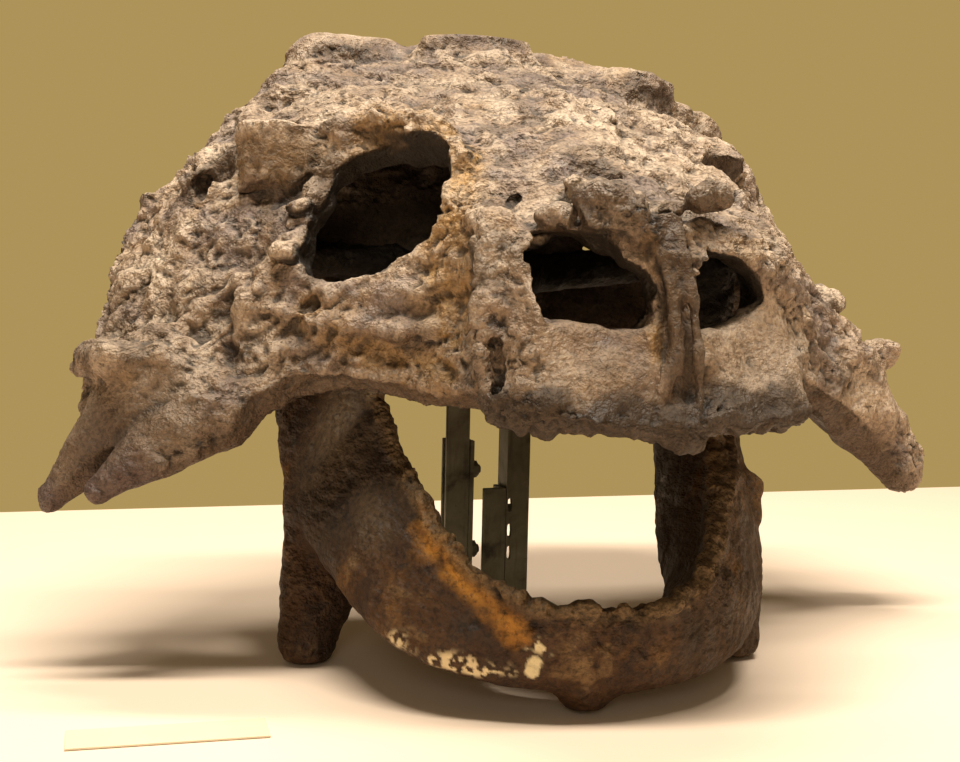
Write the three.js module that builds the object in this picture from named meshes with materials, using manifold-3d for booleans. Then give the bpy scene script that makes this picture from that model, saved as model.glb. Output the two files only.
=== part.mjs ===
// Mounted skull of a pareiasaur: a broad, rugose cranium held up on two bolted steel uprights, with the
// lower jaw set down in front of them on its chin and its two angular horns.
// Millimetres, +Z up. The floor is z = 0, x = 0 is the cranium's own middle, and the snout points to -Y,
// so -X is the animal's right, until the last step moves the origin to the middle of the steel foot
// plate's underside.
import * as THREE from "three";
import { ParametricGeometry } from "three/addons/geometries/ParametricGeometry.js";
import { mergeGeometries, mergeVertices } from "three/addons/utils/BufferGeometryUtils.js";
import Module from "manifold-3d";

const wasm = await Module();
wasm.setup();

const vec = (x, y, z) => new THREE.Vector3(x, y, z);

// ---------------------------------------------------------------- driving dimensions
const FLANGE_X = 248; // middle line to the edge of a cheek flange, without its horns
const SNOUT_Y = -182; // front of the tooth margin
const ROOF_Y = 137; // rear edge of the skull roof
const MARGIN_Z = 148; // height of the tooth margin above the floor
const ROOF_Z = 363; // height of the roof's rear corners
const WALL = 21; // thickness of the skull's bones, measured towards the vault's heart
const SEAM = 0.35; // saw cut between neighbouring bones
const HEART = vec(0, 60, 60); // point under the skull towards which every bone is thickened

// Stations round one side of the cranium, from the tip of the snout to the rear corner of the roof. Each
// has a point of the ridge on the middle line, the shoulder where roof turns to wall, and the lower rim.
const STATIONS = [
  { ridge: [0, -158, 247], shoulder: [0, -163, 243], rim: [0, SNOUT_Y, MARGIN_Z + 2], bulge: -3 },
  { ridge: [0, -152, 250], shoulder: [58, -157, 243], rim: [62, SNOUT_Y + 10, MARGIN_Z + 6], bulge: -4 },
  { ridge: [0, -140, 256], shoulder: [84, -138, 244], rim: [86, -144, MARGIN_Z + 16], bulge: 0 },
  { ridge: [0, -112, 271], shoulder: [88, -100, 257], rim: [97, -98, MARGIN_Z + 12], bulge: 0 },
  { ridge: [0, -76, 292], shoulder: [96, -58, 278], rim: [150, -50, MARGIN_Z + 18], bulge: 3 },
  { ridge: [0, -40, 311], shoulder: [112, -16, 296], rim: [205, -28, 138], bulge: 6 },
  { ridge: [0, -2, 328], shoulder: [128, 20, 306], rim: [FLANGE_X, 8, 122], bulge: 7 },
  { ridge: [0, 34, 342], shoulder: [137, 52, 318], rim: [FLANGE_X + 4, 56, 166], bulge: 9 },
  { ridge: [0, 68, 354], shoulder: [139, 78, 319], rim: [230, 96, 226], bulge: 6 },
  { ridge: [0, 96, 359], shoulder: [130, 94, 335], rim: [198, 112, 266], bulge: 3 },
  { ridge: [0, 118, 364], shoulder: [118, 114, 349], rim: [150, 124, 314], bulge: 2 },
  { ridge: [0, ROOF_Y - 1, 367], shoulder: [64, ROOF_Y, 369], rim: [108, ROOF_Y, ROOF_Z - 5], bulge: 0 },
];
const SHOULDER_AT = 0.42; // share of a meridian's run from ridge to rim where its shoulder lies
const SHOULDER_SOFT = 0.055; // how softly the shoulder turns
// Hummocks of the rugose bone: cells round the cranium, cells from ridge to rim, and their half-height.
const HUMMOCKS = { across: 40, down: 8, height: 3.6 };

const PLATE_MIDDLE = vec(-12, 40, 0); // steel foot plate
const PLATE_SIZE = vec(114, 80, 5);
const BAR_WIDTH = 15; // flat of each upright's angle steel
const BAR_THICK = 3;
const BAR_Y = 36; // front face of the uprights
const PALATE_Z = 166; // underside of the palate, which the uprights carry
const SADDLE = vec(32, 30, 3.5); // steel pad on top of each upright
const BOLT_RADIUS = 3;
const UPRIGHTS = [
  { seam: -26.5, side: -1, lowTop: 117, behind: true, bolts: [48, 98], slots: [] },
  { seam: -1.5, side: 1, lowTop: 87, behind: false, bolts: [30, 70], slots: [46, 60, 76] },
];
const LABEL = { middle: vec(-232, -102, 0.5), size: vec(94, 26, 1), turn: -0.12 }; // caption card

const JAW_CHIN = vec(-28, -128, 14); // underside of the chin, above its boss
const JAW_TURN = THREE.MathUtils.degToRad(10); // the jaw lies turned a little to the animal's right,
const JAW_PITCH = THREE.MathUtils.degToRad(26); // its rear ends are raised,
const JAW_ROLL = THREE.MathUtils.degToRad(3); // and its right side stands higher than its left

// ---------------------------------------------------------------- helpers

// A closed three.js geometry as a manifold-3d solid.
function solid(geometry) {
  const g = geometry.clone();
  g.deleteAttribute("normal");
  g.deleteAttribute("uv");
  const merged = mergeVertices(g, 1e-3);
  const vertProperties = merged.attributes.position.array;
  const triVerts = new Uint32Array(merged.index.array);
  return new wasm.Manifold(new wasm.Mesh({ numProp: 3, vertProperties, triVerts }));
}

// A manifold-3d solid back as a three.js geometry.
function geometryOf(body) {
  const mesh = body.getMesh();
  const g = new THREE.BufferGeometry();
  g.setAttribute("position", new THREE.BufferAttribute(new Float32Array(mesh.vertProperties), 3));
  g.setIndex(new THREE.BufferAttribute(new Uint32Array(mesh.triVerts), 1));
  g.computeVertexNormals();
  return g;
}

const join = (bodies) => bodies.reduce((whole, body) => whole.add(body));
const cut = (body, tools) => tools.reduce((left, tool) => left.subtract(tool), body);
const mirrored = ([x, y, z]) => [-x, y, z];

// The value at s (0 to 1) of a smooth curve through evenly spaced points, which goes on as its own mirror
// image before the first one.
function along(points, s) {
  const at = THREE.MathUtils.clamp(s, 0, 1) * (points.length - 1);
  const i = Math.min(Math.floor(at), points.length - 2);
  const f = at - i;
  const before = i === 0 ? mirrored(points[1]) : points[i - 1];
  const after = i + 2 < points.length ? points[i + 2] : points[i + 1];
  return points[i].map((p1, c) => {
    const [p0, p2, p3] = [before[c], points[i + 1][c], after[c]];
    const bend = 2 * p0 - 5 * p1 + 4 * p2 - p3;
    const twist = 3 * p1 - p0 - 3 * p2 + p3;
    return 0.5 * (2 * p1 + (p2 - p0) * f + bend * f * f + twist * f * f * f);
  });
}

// A rounded lump: an ellipsoid of half-sizes `size` at `at`, its own Z turned towards `lie`.
function lump(at, size, lie = [0, 0, 1]) {
  const g = new THREE.SphereGeometry(1, 8, 6);
  g.rotateX(Math.PI / 2);
  g.scale(...size);
  g.applyQuaternion(new THREE.Quaternion().setFromUnitVectors(vec(0, 0, 1), vec(...lie).normalize()));
  g.translate(...at);
  return solid(g);
}

// A blunt horn: a lathed cone with a round end from `root` to `tip`; `flat` is its depth over its width.
function horn(root, tip, rootRadius, tipRadius, flat = 1) {
  const axis = vec(...tip).sub(vec(...root));
  const shank = axis.length() - tipRadius;
  const steps = 3;
  const corners = [[0, 0], [rootRadius, 0], [tipRadius, shank]];
  const profile = corners.map(([r, h]) => new THREE.Vector2(r, h));
  for (let i = 1; i <= steps; i += 1) {
    const turn = ((i / steps) * Math.PI) / 2;
    const radius = i < steps ? tipRadius * Math.cos(turn) : 0;
    profile.push(new THREE.Vector2(radius, shank + tipRadius * Math.sin(turn)));
  }
  const g = new THREE.LatheGeometry(profile, 10);
  g.scale(1, 1, flat);
  g.applyQuaternion(new THREE.Quaternion().setFromUnitVectors(vec(0, 1, 0), axis.normalize()));
  g.translate(...root);
  return solid(g);
}

// A box between two corners.
function block(low, high) {
  const size = high.map((h, i) => h - low[i]);
  const g = new THREE.BoxGeometry(...size);
  g.translate(...low.map((l, i) => l + size[i] / 2));
  return solid(g);
}

// A great cube that fills the side of a plane towards which `normal` points; the plane passes through `at`.
function beyond(at, normal) {
  const reach = 1000;
  const out = vec(...normal).normalize();
  const g = new THREE.BoxGeometry(reach, reach, reach);
  g.applyQuaternion(new THREE.Quaternion().setFromUnitVectors(vec(0, 0, 1), out));
  g.translate(...vec(...at).addScaledVector(out, (reach + SEAM) / 2).toArray());
  return solid(g);
}

// A plug that cuts a hole: a rounded outline of half-sizes a along `long` and b across it, of the given
// depth to either side of `at`, with its own axis along `axis`.
function plug(at, axis, long, a, b, depth, square = 2.6, sides = 12) {
  const g = new THREE.CylinderGeometry(1, 1, 2 * depth, sides);
  const p = g.attributes.position;
  const round = (v) => Math.sign(v) * Math.abs(v) ** (2 / square);
  for (let i = 0; i < p.count; i += 1) {
    const r = Math.hypot(p.getX(i), p.getZ(i));
    const turn = Math.atan2(p.getZ(i), p.getX(i));
    p.setX(i, r * a * round(Math.cos(turn)));
    p.setZ(i, r * b * round(Math.sin(turn)));
  }
  const y = vec(...axis).normalize();
  const x = vec(...long).addScaledVector(y, -vec(...long).dot(y)).normalize();
  g.applyMatrix4(new THREE.Matrix4().makeBasis(x, y, x.clone().cross(y)));
  g.translate(...at);
  return solid(g);
}

// An opening's cutter: an outline of points (u, v), u along `long` and v along the cross product of `axis`
// and `long`, carried `depth` to either side of `at`.
function opening(outline, at, axis, long, depth) {
  const shape = new THREE.Shape(outline.map(([u, v]) => new THREE.Vector2(u, v)));
  const g = new THREE.ExtrudeGeometry(shape, { depth: 2 * depth, bevelEnabled: false });
  g.translate(0, 0, -depth);
  const z = vec(...axis).normalize();
  const x = vec(...long).addScaledVector(z, -vec(...long).dot(z)).normalize();
  g.applyMatrix4(new THREE.Matrix4().makeBasis(x, z.clone().cross(x), z));
  g.translate(...at);
  return solid(g);
}

// ---------------------------------------------------------------- the cranium's vault

const RIDGES = STATIONS.map((s) => s.ridge);
const SHOULDERS = STATIONS.map((s) => s.shoulder);
const RIMS = STATIONS.map((s) => s.rim);
const BULGES = STATIONS.map((s) => [0, s.bulge, 0]);

// Height of the hummocks, from -1 to 1: one number for each corner of their cells, mixed from the corner's
// place, and blended smoothly in between. The middle line's corners have one number for both sides.
function hummock(a, t) {
  const at = [((1 - a) / 2) * HUMMOCKS.across, t * HUMMOCKS.down];
  const last = [HUMMOCKS.across - 1, HUMMOCKS.down - 1];
  const cell = at.map((v, i) => Math.min(Math.floor(v), last[i]));
  const share = at.map((v, i) => (v - cell[i]) ** 2 * (3 - 2 * (v - cell[i])));
  const corner = (i, j) => {
    const k = j === 0 ? Math.min(i, HUMMOCKS.across - i) : i;
    const mix = Math.sin(12.9898 * k + 78.233 * j) * 4375.85;
    return 2 * (mix - Math.floor(mix)) - 1;
  };
  const row = (j) => THREE.MathUtils.lerp(corner(cell[0], j), corner(cell[0] + 1, j), share[0]);
  return THREE.MathUtils.lerp(row(cell[1]), row(cell[1] + 1), share[1]);
}

// A point of the vault, `depth` under its outer face. a runs from 0 at the snout to 1 at the roof's rear
// corner (-1 to 0 on the animal's right), and t from 0 on the ridge to 1 on the rim. The face is
// ridge + (shoulder - ridge) A(t) + (rim - shoulder) B(t), where A and B are ramps joined softly.
function vaultPoint(a, t, depth) {
  const s = Math.abs(a);
  const ridge = vec(...along(RIDGES, s));
  const shoulder = vec(...along(SHOULDERS, s));
  const rim = vec(...along(RIMS, s));
  const soft = (v) => SHOULDER_SOFT * Math.log1p(Math.exp(v / SHOULDER_SOFT));
  const start = soft(-SHOULDER_AT);
  const past = (soft(t - SHOULDER_AT) - start) / (soft(1 - SHOULDER_AT) - start);
  const upTo = (t - past * (1 - SHOULDER_AT)) / SHOULDER_AT;
  const p = ridge.clone().addScaledVector(shoulder.clone().sub(ridge), upTo);
  p.addScaledVector(rim.sub(shoulder), past);
  const bulge = along(BULGES, s)[1] * Math.sin(Math.PI * THREE.MathUtils.clamp(past, 0, 1));
  const swell = bulge + HUMMOCKS.height * hummock(a, t);
  p.addScaledVector(HEART.clone().sub(p).normalize(), depth - swell);
  p.x = s === 0 || t === 0 ? 0 : p.x * Math.sign(a);
  return p;
}

// The closed shell between two depths under the vault's face: face, lining, rim and rear edge.
function shell(from, to, across, down) {
  const side = (u) => 1 - 2 * u;
  const face = new ParametricGeometry((u, v, p) => p.copy(vaultPoint(side(u), v, from)), across, down);
  const lining = new ParametricGeometry((u, v, p) => p.copy(vaultPoint(side(1 - u), v, to)), across, down);
  const rim = new ParametricGeometry((u, v, p) => p.copy(vaultPoint(side(u), 1, v ? to : from)), across, 1);
  const rear = [1, 0].map(
    (end) =>
      new ParametricGeometry(
        (u, v, p) => p.copy(vaultPoint(side(end), u, v === end ? from : to)),
        down,
        1,
      ),
  );
  return solid(mergeGeometries([face, lining, rim, ...rear]));
}

const CHEEK_OUT = [-0.6, -0.63, 0.49]; // outward normal of the right cheek, at its orbit
const ORBIT = {
  at: [-115, -49, 251],
  long: [0.71, -0.22, 0.67],
  outline: [
    [50, 7],
    [36, -16],
    [23, -30],
    [-8, -30],
    [-36, -17],
    [-49, 4],
    [-45, 15],
    [-26, 32],
    [-6, 44],
    [10, 48],
    [28, 39],
    [43, 23],
  ],
};
const NOSTRIL_Y = -163;
// The nostrils' outlines from the front: to the animal's right, and up.
const NOSTRILS = [
  [[66, 241], [38, 240], [29, 230], [15, 221], [12, 205], [19, 195], [66, 199], [71, 207], [72, 231]],
  [[-16, 235], [-35, 231], [-47, 219], [-52, 211], [-41, 200], [-13, 194], [-9, 203], [-11, 220]],
];

// The palate's plate, from the snout back to the braincase: half its outline in plan.
const PALATE_OUTLINE = [
  [0, -172],
  [62, -160],
  [88, -130],
  [96, -90],
  [134, -56],
  [128, -34],
  [82, -18],
  [64, 16],
  [62, 62],
  [36, 84],
  [0, 104],
];
const PALATE_THICK = 14;

function palatePlate() {
  const right = PALATE_OUTLINE.slice(1, -1).map(([x, y]) => [-x, y]);
  const outline = [...PALATE_OUTLINE, ...right.reverse()].map(([x, y]) => new THREE.Vector2(x, y));
  const shape = new THREE.Shape(outline);
  const g = new THREE.ExtrudeGeometry(shape, { depth: PALATE_THICK, bevelEnabled: false });
  g.translate(0, 0, PALATE_Z);
  return solid(g);
}

// The occiput's plate, seen from behind: the part that closes the vault, and the part under it that
// reaches out to the cheeks.
const OCCIPUT_ABOVE = [[-190, 206], [190, 206], [190, 366], [-190, 366]];
const OCCIPUT_BELOW = [
  [-214, 262],
  [-214, 186],
  [-150, 178],
  [150, 178],
  [214, 186],
  [214, 262],
];
const OCCIPUT_REAR = 115;
const OCCIPUT_THICK = 13;

function occiputPlate(points) {
  const outline = points.map(([x, z]) => new THREE.Vector2(x, z));
  const shape = new THREE.Shape(outline);
  const g = new THREE.ExtrudeGeometry(shape, { depth: OCCIPUT_THICK, bevelEnabled: false });
  g.rotateX(Math.PI / 2);
  g.translate(0, OCCIPUT_REAR, 0);
  return solid(g);
}

// The whole cranium before it is parted: vault, palate and braincase, with its openings and horns.
function cranium() {
  const core = shell(WALL / 2, 200, 20, 5);
  const both = (make) => [make((p) => p), make(mirrored)];
  const orbit = (m, way) => {
    const outline = ORBIT.outline.map(([u, v]) => [u, way * v]);
    return opening(outline, m(ORBIT.at), m(CHEEK_OUT), m(ORBIT.long), 60);
  };
  const orbits = [orbit((p) => p, 1), orbit(mirrored, -1)];
  const nostrils = NOSTRILS.map((outline) => opening(outline, [0, NOSTRIL_Y, 0], [0, 1, 0], [-1, 0, 0], 60));
  const slit = plug([88, 112, 236], [0, 1, 0], [1, 0, 0], 12, 3.5, 60);
  const occiput = occiputPlate(OCCIPUT_ABOVE).intersect(core).add(occiputPlate(OCCIPUT_BELOW));
  const palate = palatePlate().intersect(core);
  const braincase = horn([0, 108, 352], [0, 100, 176], 40, 36, 0.55);
  const basicranium = horn([0, 96, 196], [0, 22, 180], 30, 18, 0.7);
  const condyle = lump([0, 120, 181], [16, 15, 13]);
  const behind = both((m) =>
    join([
      horn(m([-16, 112, 262]), m([-176, 104, 244]), 20, 14),
      horn(m([-24, 76, 218]), m([-164, 88, 230]), 12, 10),
      horn(m([-166, 92, 242]), m([-162, 76, 152]), 22, 16),
    ]),
  );
  const nasalBar = horn([-8, -160, 246], [-5, -176, 158], 10, 8);
  const bosses = both((m) =>
    join([
      lump(m([-145, 36, 283]), [28, 18, 18], m(CHEEK_OUT)),
      lump(m([-246, 52, 170]), [11, 12, 10]),
      horn(m([-138, 8, 284]), m([-98, -10, 303]), 9, 10),
      horn(m([-106, -6, 302]), m([-74, -60, 283]), 10, 7),
    ]),
  );
  const nasals = [lump([-30, -155, 252], [19, 14, 15]), lump([20, -154, 258], [12, 13, 13])];
  const corners = [
    lump([-98, 124, 356], [19, 15, 13]),
    lump([112, 106, 345], [30, 26, 17]),
    lump([150, 108, 306], [40, 14, 28]),
  ];
  const margin = [
    lump([0, -172, 150], [15, 14, 16]),
    lump([-66, -150, 160], [18, 16, 17]),
    lump([52, -157, 160], [18, 16, 17]),
  ];
  const flangeKnob = lump([226, 36, 202], [15, 14, 13]);
  const prongs = [
    horn([-216, 8, 160], [-281, 16, 91], 32, 9),
    horn([-196, -20, 146], [-260, -14, 98], 26, 9),
  ];
  const horns = [...prongs, horn([204, -2, 164], [280, 0, 86], 31, 17, 0.8)];
  const bones = [occiput, palate, braincase, basicranium, condyle, ...behind, nasalBar];
  const lumps = [...bosses, ...nasals, ...corners, ...margin, flangeKnob];
  const whole = join([shell(0, WALL, HUMMOCKS.across, HUMMOCKS.down), ...bones, ...lumps, ...horns]);
  return cut(whole, [...orbits, ...nostrils, slit]);
}

// The cranium parted into its named regions by thin saw cuts.
const SNOUT_CUT = -90; // y of the cut behind the snout
const CHEEK_CUT = { at: [-103, 20, 0], out: [-0.983, -0.182, 0] }; // plane beside the roof, on the right
const ROOF_CUT = 197; // height of the cut under the roof
const PALATE_CUT = 45; // y of the cut between palate and braincase

function craniumPieces() {
  const whole = cranium();
  const [front, back] = [-1, 1].map((way) => beyond([0, SNOUT_CUT, 0], [0, way, 0]));
  const turned = ([x, y, z]) => [-x, -y, -z];
  const { at, out } = CHEEK_CUT;
  const rear = whole.intersect(back);
  const leftOf = beyond(at, turned(out));
  const rightOf = beyond(mirrored(at), turned(mirrored(out)));
  const middle = rear.intersect(leftOf).intersect(rightOf);
  const under = middle.intersect(beyond([0, 0, ROOF_CUT], [0, 0, -1]));
  return {
    cranium_snout: whole.intersect(front),
    cranium_cheek_right: rear.intersect(beyond(at, out)),
    cranium_cheek_left: rear.intersect(beyond(mirrored(at), mirrored(out))),
    cranium_roof: middle.intersect(beyond([0, 0, ROOF_CUT], [0, 0, 1])),
    cranium_palate: under.intersect(beyond([0, PALATE_CUT, 0], [0, -1, 0])),
    cranium_braincase: under.intersect(beyond([0, PALATE_CUT, 0], [0, 1, 0])),
  };
}

// ---------------------------------------------------------------- the lower jaw

// Stations from the chin to the rear end in the jaw's own frame (out to the side, back, up): the crest
// that bears the teeth, the keel below it, and the wall's thickness at the keel.
const JAW_STATIONS = [
  { crest: [0, -6, 54], keel: [0, 4, 0], thick: 42 },
  { crest: [36, 0, 54], keel: [46, 12, 0], thick: 48 },
  { crest: [66, 30, 58], keel: [84, 44, 0], thick: 60 },
  { crest: [86, 84, 68], keel: [102, 96, -4], thick: 70 },
  { crest: [98, 140, 80], keel: [116, 150, -6], thick: 70 },
  { crest: [112, 200, 86], keel: [123, 210, 4], thick: 60 },
  { crest: [124, 256, 70], keel: [129, 262, 16], thick: 46 },
];
const CRESTS = JAW_STATIONS.map((s) => s.crest);
const KEELS = JAW_STATIONS.map((s) => s.keel);
const THICKS = JAW_STATIONS.map((s) => [0, s.thick, 0]);
const CREST_THICK = 0.3; // of the keel's thickness

// From the jaw's own frame (out to the animal's left, back, up) to the part's.
function jawPoint([out, back, up]) {
  const p = vec(out, back, up);
  p.applyAxisAngle(vec(0, 1, 0), JAW_ROLL);
  p.applyAxisAngle(vec(1, 0, 0), JAW_PITCH);
  p.applyAxisAngle(vec(0, 0, 1), -JAW_TURN);
  return p.add(JAW_CHIN);
}

// A point of the jaw's skin: s runs from -1 at the right rear end to 1 at the left, and turn goes round
// the wedge-shaped section, whose corners are rounded.
function jawSkin(s, turn) {
  const at = Math.abs(s);
  const crest = vec(...along(CRESTS, at));
  const keel = vec(...along(KEELS, at));
  const ahead = vec(...along(KEELS, Math.min(at + 0.01, 1)));
  const run = ahead.sub(vec(...along(KEELS, Math.max(at - 0.01, 0)))).setZ(0).normalize();
  if (at === 0) run.set(1, 0, 0);
  const square = (v) => Math.sign(v) * Math.abs(v) ** 0.7;
  const rise = 0.5 + 0.5 * square(Math.sin(turn));
  const half = (along(THICKS, at)[1] / 2) * THREE.MathUtils.lerp(1, CREST_THICK, rise ** 1.5);
  const aside = vec(run.y, -run.x, 0).multiplyScalar(half * square(Math.cos(turn)));
  const p = keel.lerp(crest, rise).add(aside);
  return jawPoint([s < 0 ? -p.x : p.x, p.y, p.z]);
}

function jaw() {
  const [lengthwise, round] = [32, 10];
  const turn = (v) => (v === 1 ? 0 : 2 * Math.PI * v);
  const tube = new ParametricGeometry((u, v, p) => p.copy(jawSkin(2 * u - 1, turn(v))), lengthwise, round);
  const ends = [1, -1].map((end) => {
    const middle = jawSkin(end, 0).add(jawSkin(end, Math.PI)).multiplyScalar(0.5);
    const toward = (v) => (end > 0 ? turn(1 - v) : turn(v));
    return new ParametricGeometry((u, v, p) => p.copy(jawSkin(end, toward(u))).lerp(middle, v), round, 1);
  });
  const body = solid(mergeGeometries([tube, ...ends]));
  const chin = lump([-28, -130, 14], [17, 15, 18]);
  const angulars = [
    horn([-120, 14, 74], [-140, -4, -4], 30, 17, 0.8),
    horn([104, -40, 52], [101, -68, -4], 28, 16, 0.8),
  ];
  return cut(join([body, chin, ...angulars]), [beyond([0, 0, SEAM / 2], [0, 0, -1])]);
}

const CHIN_HALF = 58; // the chin's half-width between the saw cuts that part it from the rami

function jawPieces() {
  const whole = jaw();
  const across = vec(Math.cos(JAW_TURN), -Math.sin(JAW_TURN), 0);
  const plane = (way) => JAW_CHIN.clone().addScaledVector(across, way * CHIN_HALF).toArray();
  const outward = (way) => across.clone().multiplyScalar(way).toArray();
  return {
    jaw_ramus_right: whole.intersect(beyond(plane(-1), outward(-1))),
    jaw_chin: whole.intersect(beyond(plane(-1), outward(1))).intersect(beyond(plane(1), outward(-1))),
    jaw_ramus_left: whole.intersect(beyond(plane(1), outward(1))),
  };
}

// ---------------------------------------------------------------- the stand

// A length of angle steel from low to high: a leg that goes back along x, and a flat. The flat runs from
// the leg's front edge to the given side, or from its rear edge to the other side where it is `behind`.
function angleBar(x, side, low, high, behind) {
  const [w, t] = [BAR_WIDTH, BAR_THICK];
  const inFront = [[0, 0], [w, 0], [w, t], [t, t], [t, w], [0, w]];
  const atRear = [[0, 0], [t, 0], [t, w + t], [t - w, w + t], [t - w, w + SEAM], [0, w + SEAM]];
  const outline = (behind ? atRear : inFront).map(([px, py]) => new THREE.Vector2(side * px, py));
  const g = new THREE.ExtrudeGeometry(new THREE.Shape(outline), { depth: high - low, bevelEnabled: false });
  g.translate(x, BAR_Y, low);
  return solid(g);
}

// A hexagon bolt with its nut, lying along X through the two legs that meet at the seam.
const BOLT_Y = BAR_Y + BAR_WIDTH - 2 * BOLT_RADIUS;
const HEAD = { radius: 5.4, thick: 3.4 };
const NUT_THICK = 4.6;

function bolt(seam, z) {
  const rod = (radius, from, to, sides) => {
    const g = new THREE.CylinderGeometry(radius, radius, to - from, sides);
    g.rotateZ(Math.PI / 2);
    g.translate(seam + (from + to) / 2, BOLT_Y, z);
    return solid(g);
  };
  const face = BAR_THICK + 1.5 * SEAM;
  const shank = rod(BOLT_RADIUS, -face - 1, face + NUT_THICK + 2, 6);
  const head = rod(HEAD.radius, -face - HEAD.thick, -face, 6);
  const nut = rod(HEAD.radius, face, face + NUT_THICK, 6);
  return join([shank, head, nut]);
}

function upright({ seam, side, lowTop, behind, bolts, slots }, i) {
  const foot = PLATE_SIZE.z + SEAM;
  const top = PALATE_Z - SADDLE.z - 2 * SEAM;
  const holeRadius = BOLT_RADIUS + SEAM;
  const [alongX, alongY, up] = [[1, 0, 0], [0, 1, 0], [0, 0, 1]];
  const hole = (z) => plug([seam, BOLT_Y, z], alongX, up, holeRadius, holeRadius, 6, 2, 8);
  const slot = (z) => plug([seam + side * 2.4, BAR_Y, z], alongY, up, 4.5, 1.5, 9, 3, 8);
  const boltHoles = bolts.map(hole);
  const slotHoles = slots.map(slot);
  const upper = angleBar(seam + (side * SEAM) / 2, side, foot, top, false);
  const lower = angleBar(seam - (side * SEAM) / 2, -side, foot, lowTop, behind);
  const middle = seam + (side * BAR_WIDTH) / 2;
  const saddleLow = [middle - SADDLE.x / 2, BAR_Y - 6, top + SEAM];
  const saddleHigh = [middle + SADDLE.x / 2, BAR_Y - 6 + SADDLE.y, PALATE_Z - SEAM];
  const pieces = {
    [`stand_upper_bar_${i + 1}`]: cut(upper, [...boltHoles, ...slotHoles]),
    [`stand_lower_bar_${i + 1}`]: cut(lower, boltHoles),
    [`stand_saddle_${i + 1}`]: block(saddleLow, saddleHigh),
  };
  bolts.forEach((z, k) => {
    pieces[`stand_bolt_${i + 1}_${k + 1}`] = bolt(seam, z);
  });
  return pieces;
}

function footPlate() {
  const half = PLATE_SIZE.clone().multiplyScalar(0.5);
  const middle = PLATE_MIDDLE.clone().setZ(half.z);
  return block(middle.clone().sub(half).toArray(), middle.clone().add(half).toArray());
}

function labelCard() {
  const g = new THREE.BoxGeometry(...LABEL.size.toArray());
  g.rotateZ(LABEL.turn);
  g.translate(...LABEL.middle.toArray());
  return solid(g);
}

// ---------------------------------------------------------------- bones and stand as separate meshes
const BONE = { color: 0x8f7b74, roughness: 0.85, metalness: 0 };
const JAW_BONE = { color: 0x6f4f35, roughness: 0.8, metalness: 0 };
const STEEL = { color: 0x77704f, roughness: 0.5, metalness: 0.3 };
const CARD = { color: 0xe6dcc0, roughness: 0.9, metalness: 0 };

const object = new THREE.Group();
object.name = "mounted_pareiasaur_skull";
const placed = new THREE.Group();
placed.position.copy(PLATE_MIDDLE).negate();
object.add(placed);

function addPieces(pieces, look) {
  Object.entries(pieces).forEach(([name, body]) => {
    const mesh = new THREE.Mesh(geometryOf(body), new THREE.MeshStandardMaterial(look));
    mesh.name = name;
    placed.add(mesh);
  });
}

addPieces(craniumPieces(), BONE);
addPieces(jawPieces(), JAW_BONE);
addPieces({ stand_foot_plate: footPlate() }, STEEL);
UPRIGHTS.forEach((given, i) => addPieces(upright(given, i), STEEL));
addPieces({ stand_label_card: labelCard() }, CARD);

export default object;
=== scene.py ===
# Mounted skull of a pareiasaur: the cranium on two steel uprights, and the lower jaw set down in front.
# Bones are worked out in millimetres, with x = 0 on the cranium's middle line, the snout towards -y and
# the floor at z = 0. The last step of each piece moves it to the frame's origin and into metres.
import itertools
import math
import time

import bmesh
import bpy
import numpy as np
import openvdb
from mathutils import Matrix, Vector


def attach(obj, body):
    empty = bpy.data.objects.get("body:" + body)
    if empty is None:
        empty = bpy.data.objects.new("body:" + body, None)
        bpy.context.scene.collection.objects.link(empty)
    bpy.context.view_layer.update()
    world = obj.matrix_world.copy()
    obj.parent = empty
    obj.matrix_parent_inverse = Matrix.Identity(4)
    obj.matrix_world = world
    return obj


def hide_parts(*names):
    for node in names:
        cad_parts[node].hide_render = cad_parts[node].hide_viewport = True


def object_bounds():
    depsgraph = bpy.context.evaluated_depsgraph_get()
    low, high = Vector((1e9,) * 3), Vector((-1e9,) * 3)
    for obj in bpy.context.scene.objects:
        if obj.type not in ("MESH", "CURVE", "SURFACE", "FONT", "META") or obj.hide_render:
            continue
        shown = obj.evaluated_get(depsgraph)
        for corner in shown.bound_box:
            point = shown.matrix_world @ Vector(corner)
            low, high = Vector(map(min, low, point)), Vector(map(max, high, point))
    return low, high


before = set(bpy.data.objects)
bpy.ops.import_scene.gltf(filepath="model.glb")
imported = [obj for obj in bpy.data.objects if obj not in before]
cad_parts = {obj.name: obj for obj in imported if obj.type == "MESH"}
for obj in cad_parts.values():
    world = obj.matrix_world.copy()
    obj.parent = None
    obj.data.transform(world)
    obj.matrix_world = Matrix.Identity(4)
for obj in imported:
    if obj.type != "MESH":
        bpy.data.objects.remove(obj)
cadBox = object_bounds()
startTime = time.time()


def say(text):
    print(f"skull: {text} after {time.time() - startTime:.0f} s")


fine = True
frameOrigin = np.array([-12.0, 40.0, 0.0])  # middle of the foot plate, in the bones' own millimetres
cadLow = np.array(cadBox[0]) * 1000 + frameOrigin
cadHigh = np.array(cadBox[1]) * 1000 + frameOrigin

# Camera, floor and light

viewing = {
    "eye": (-0.3321, -0.8037, 0.229),
    "turn": 22.0,  # degrees to the right of +y
    "dip": 5.0,
    "roll": 1.3,
    "lens": 53.25,
    "farEdge": ((-0.260, 0.474), (0.667, 0.379)),  # two points of the floor's far edge
}


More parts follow.
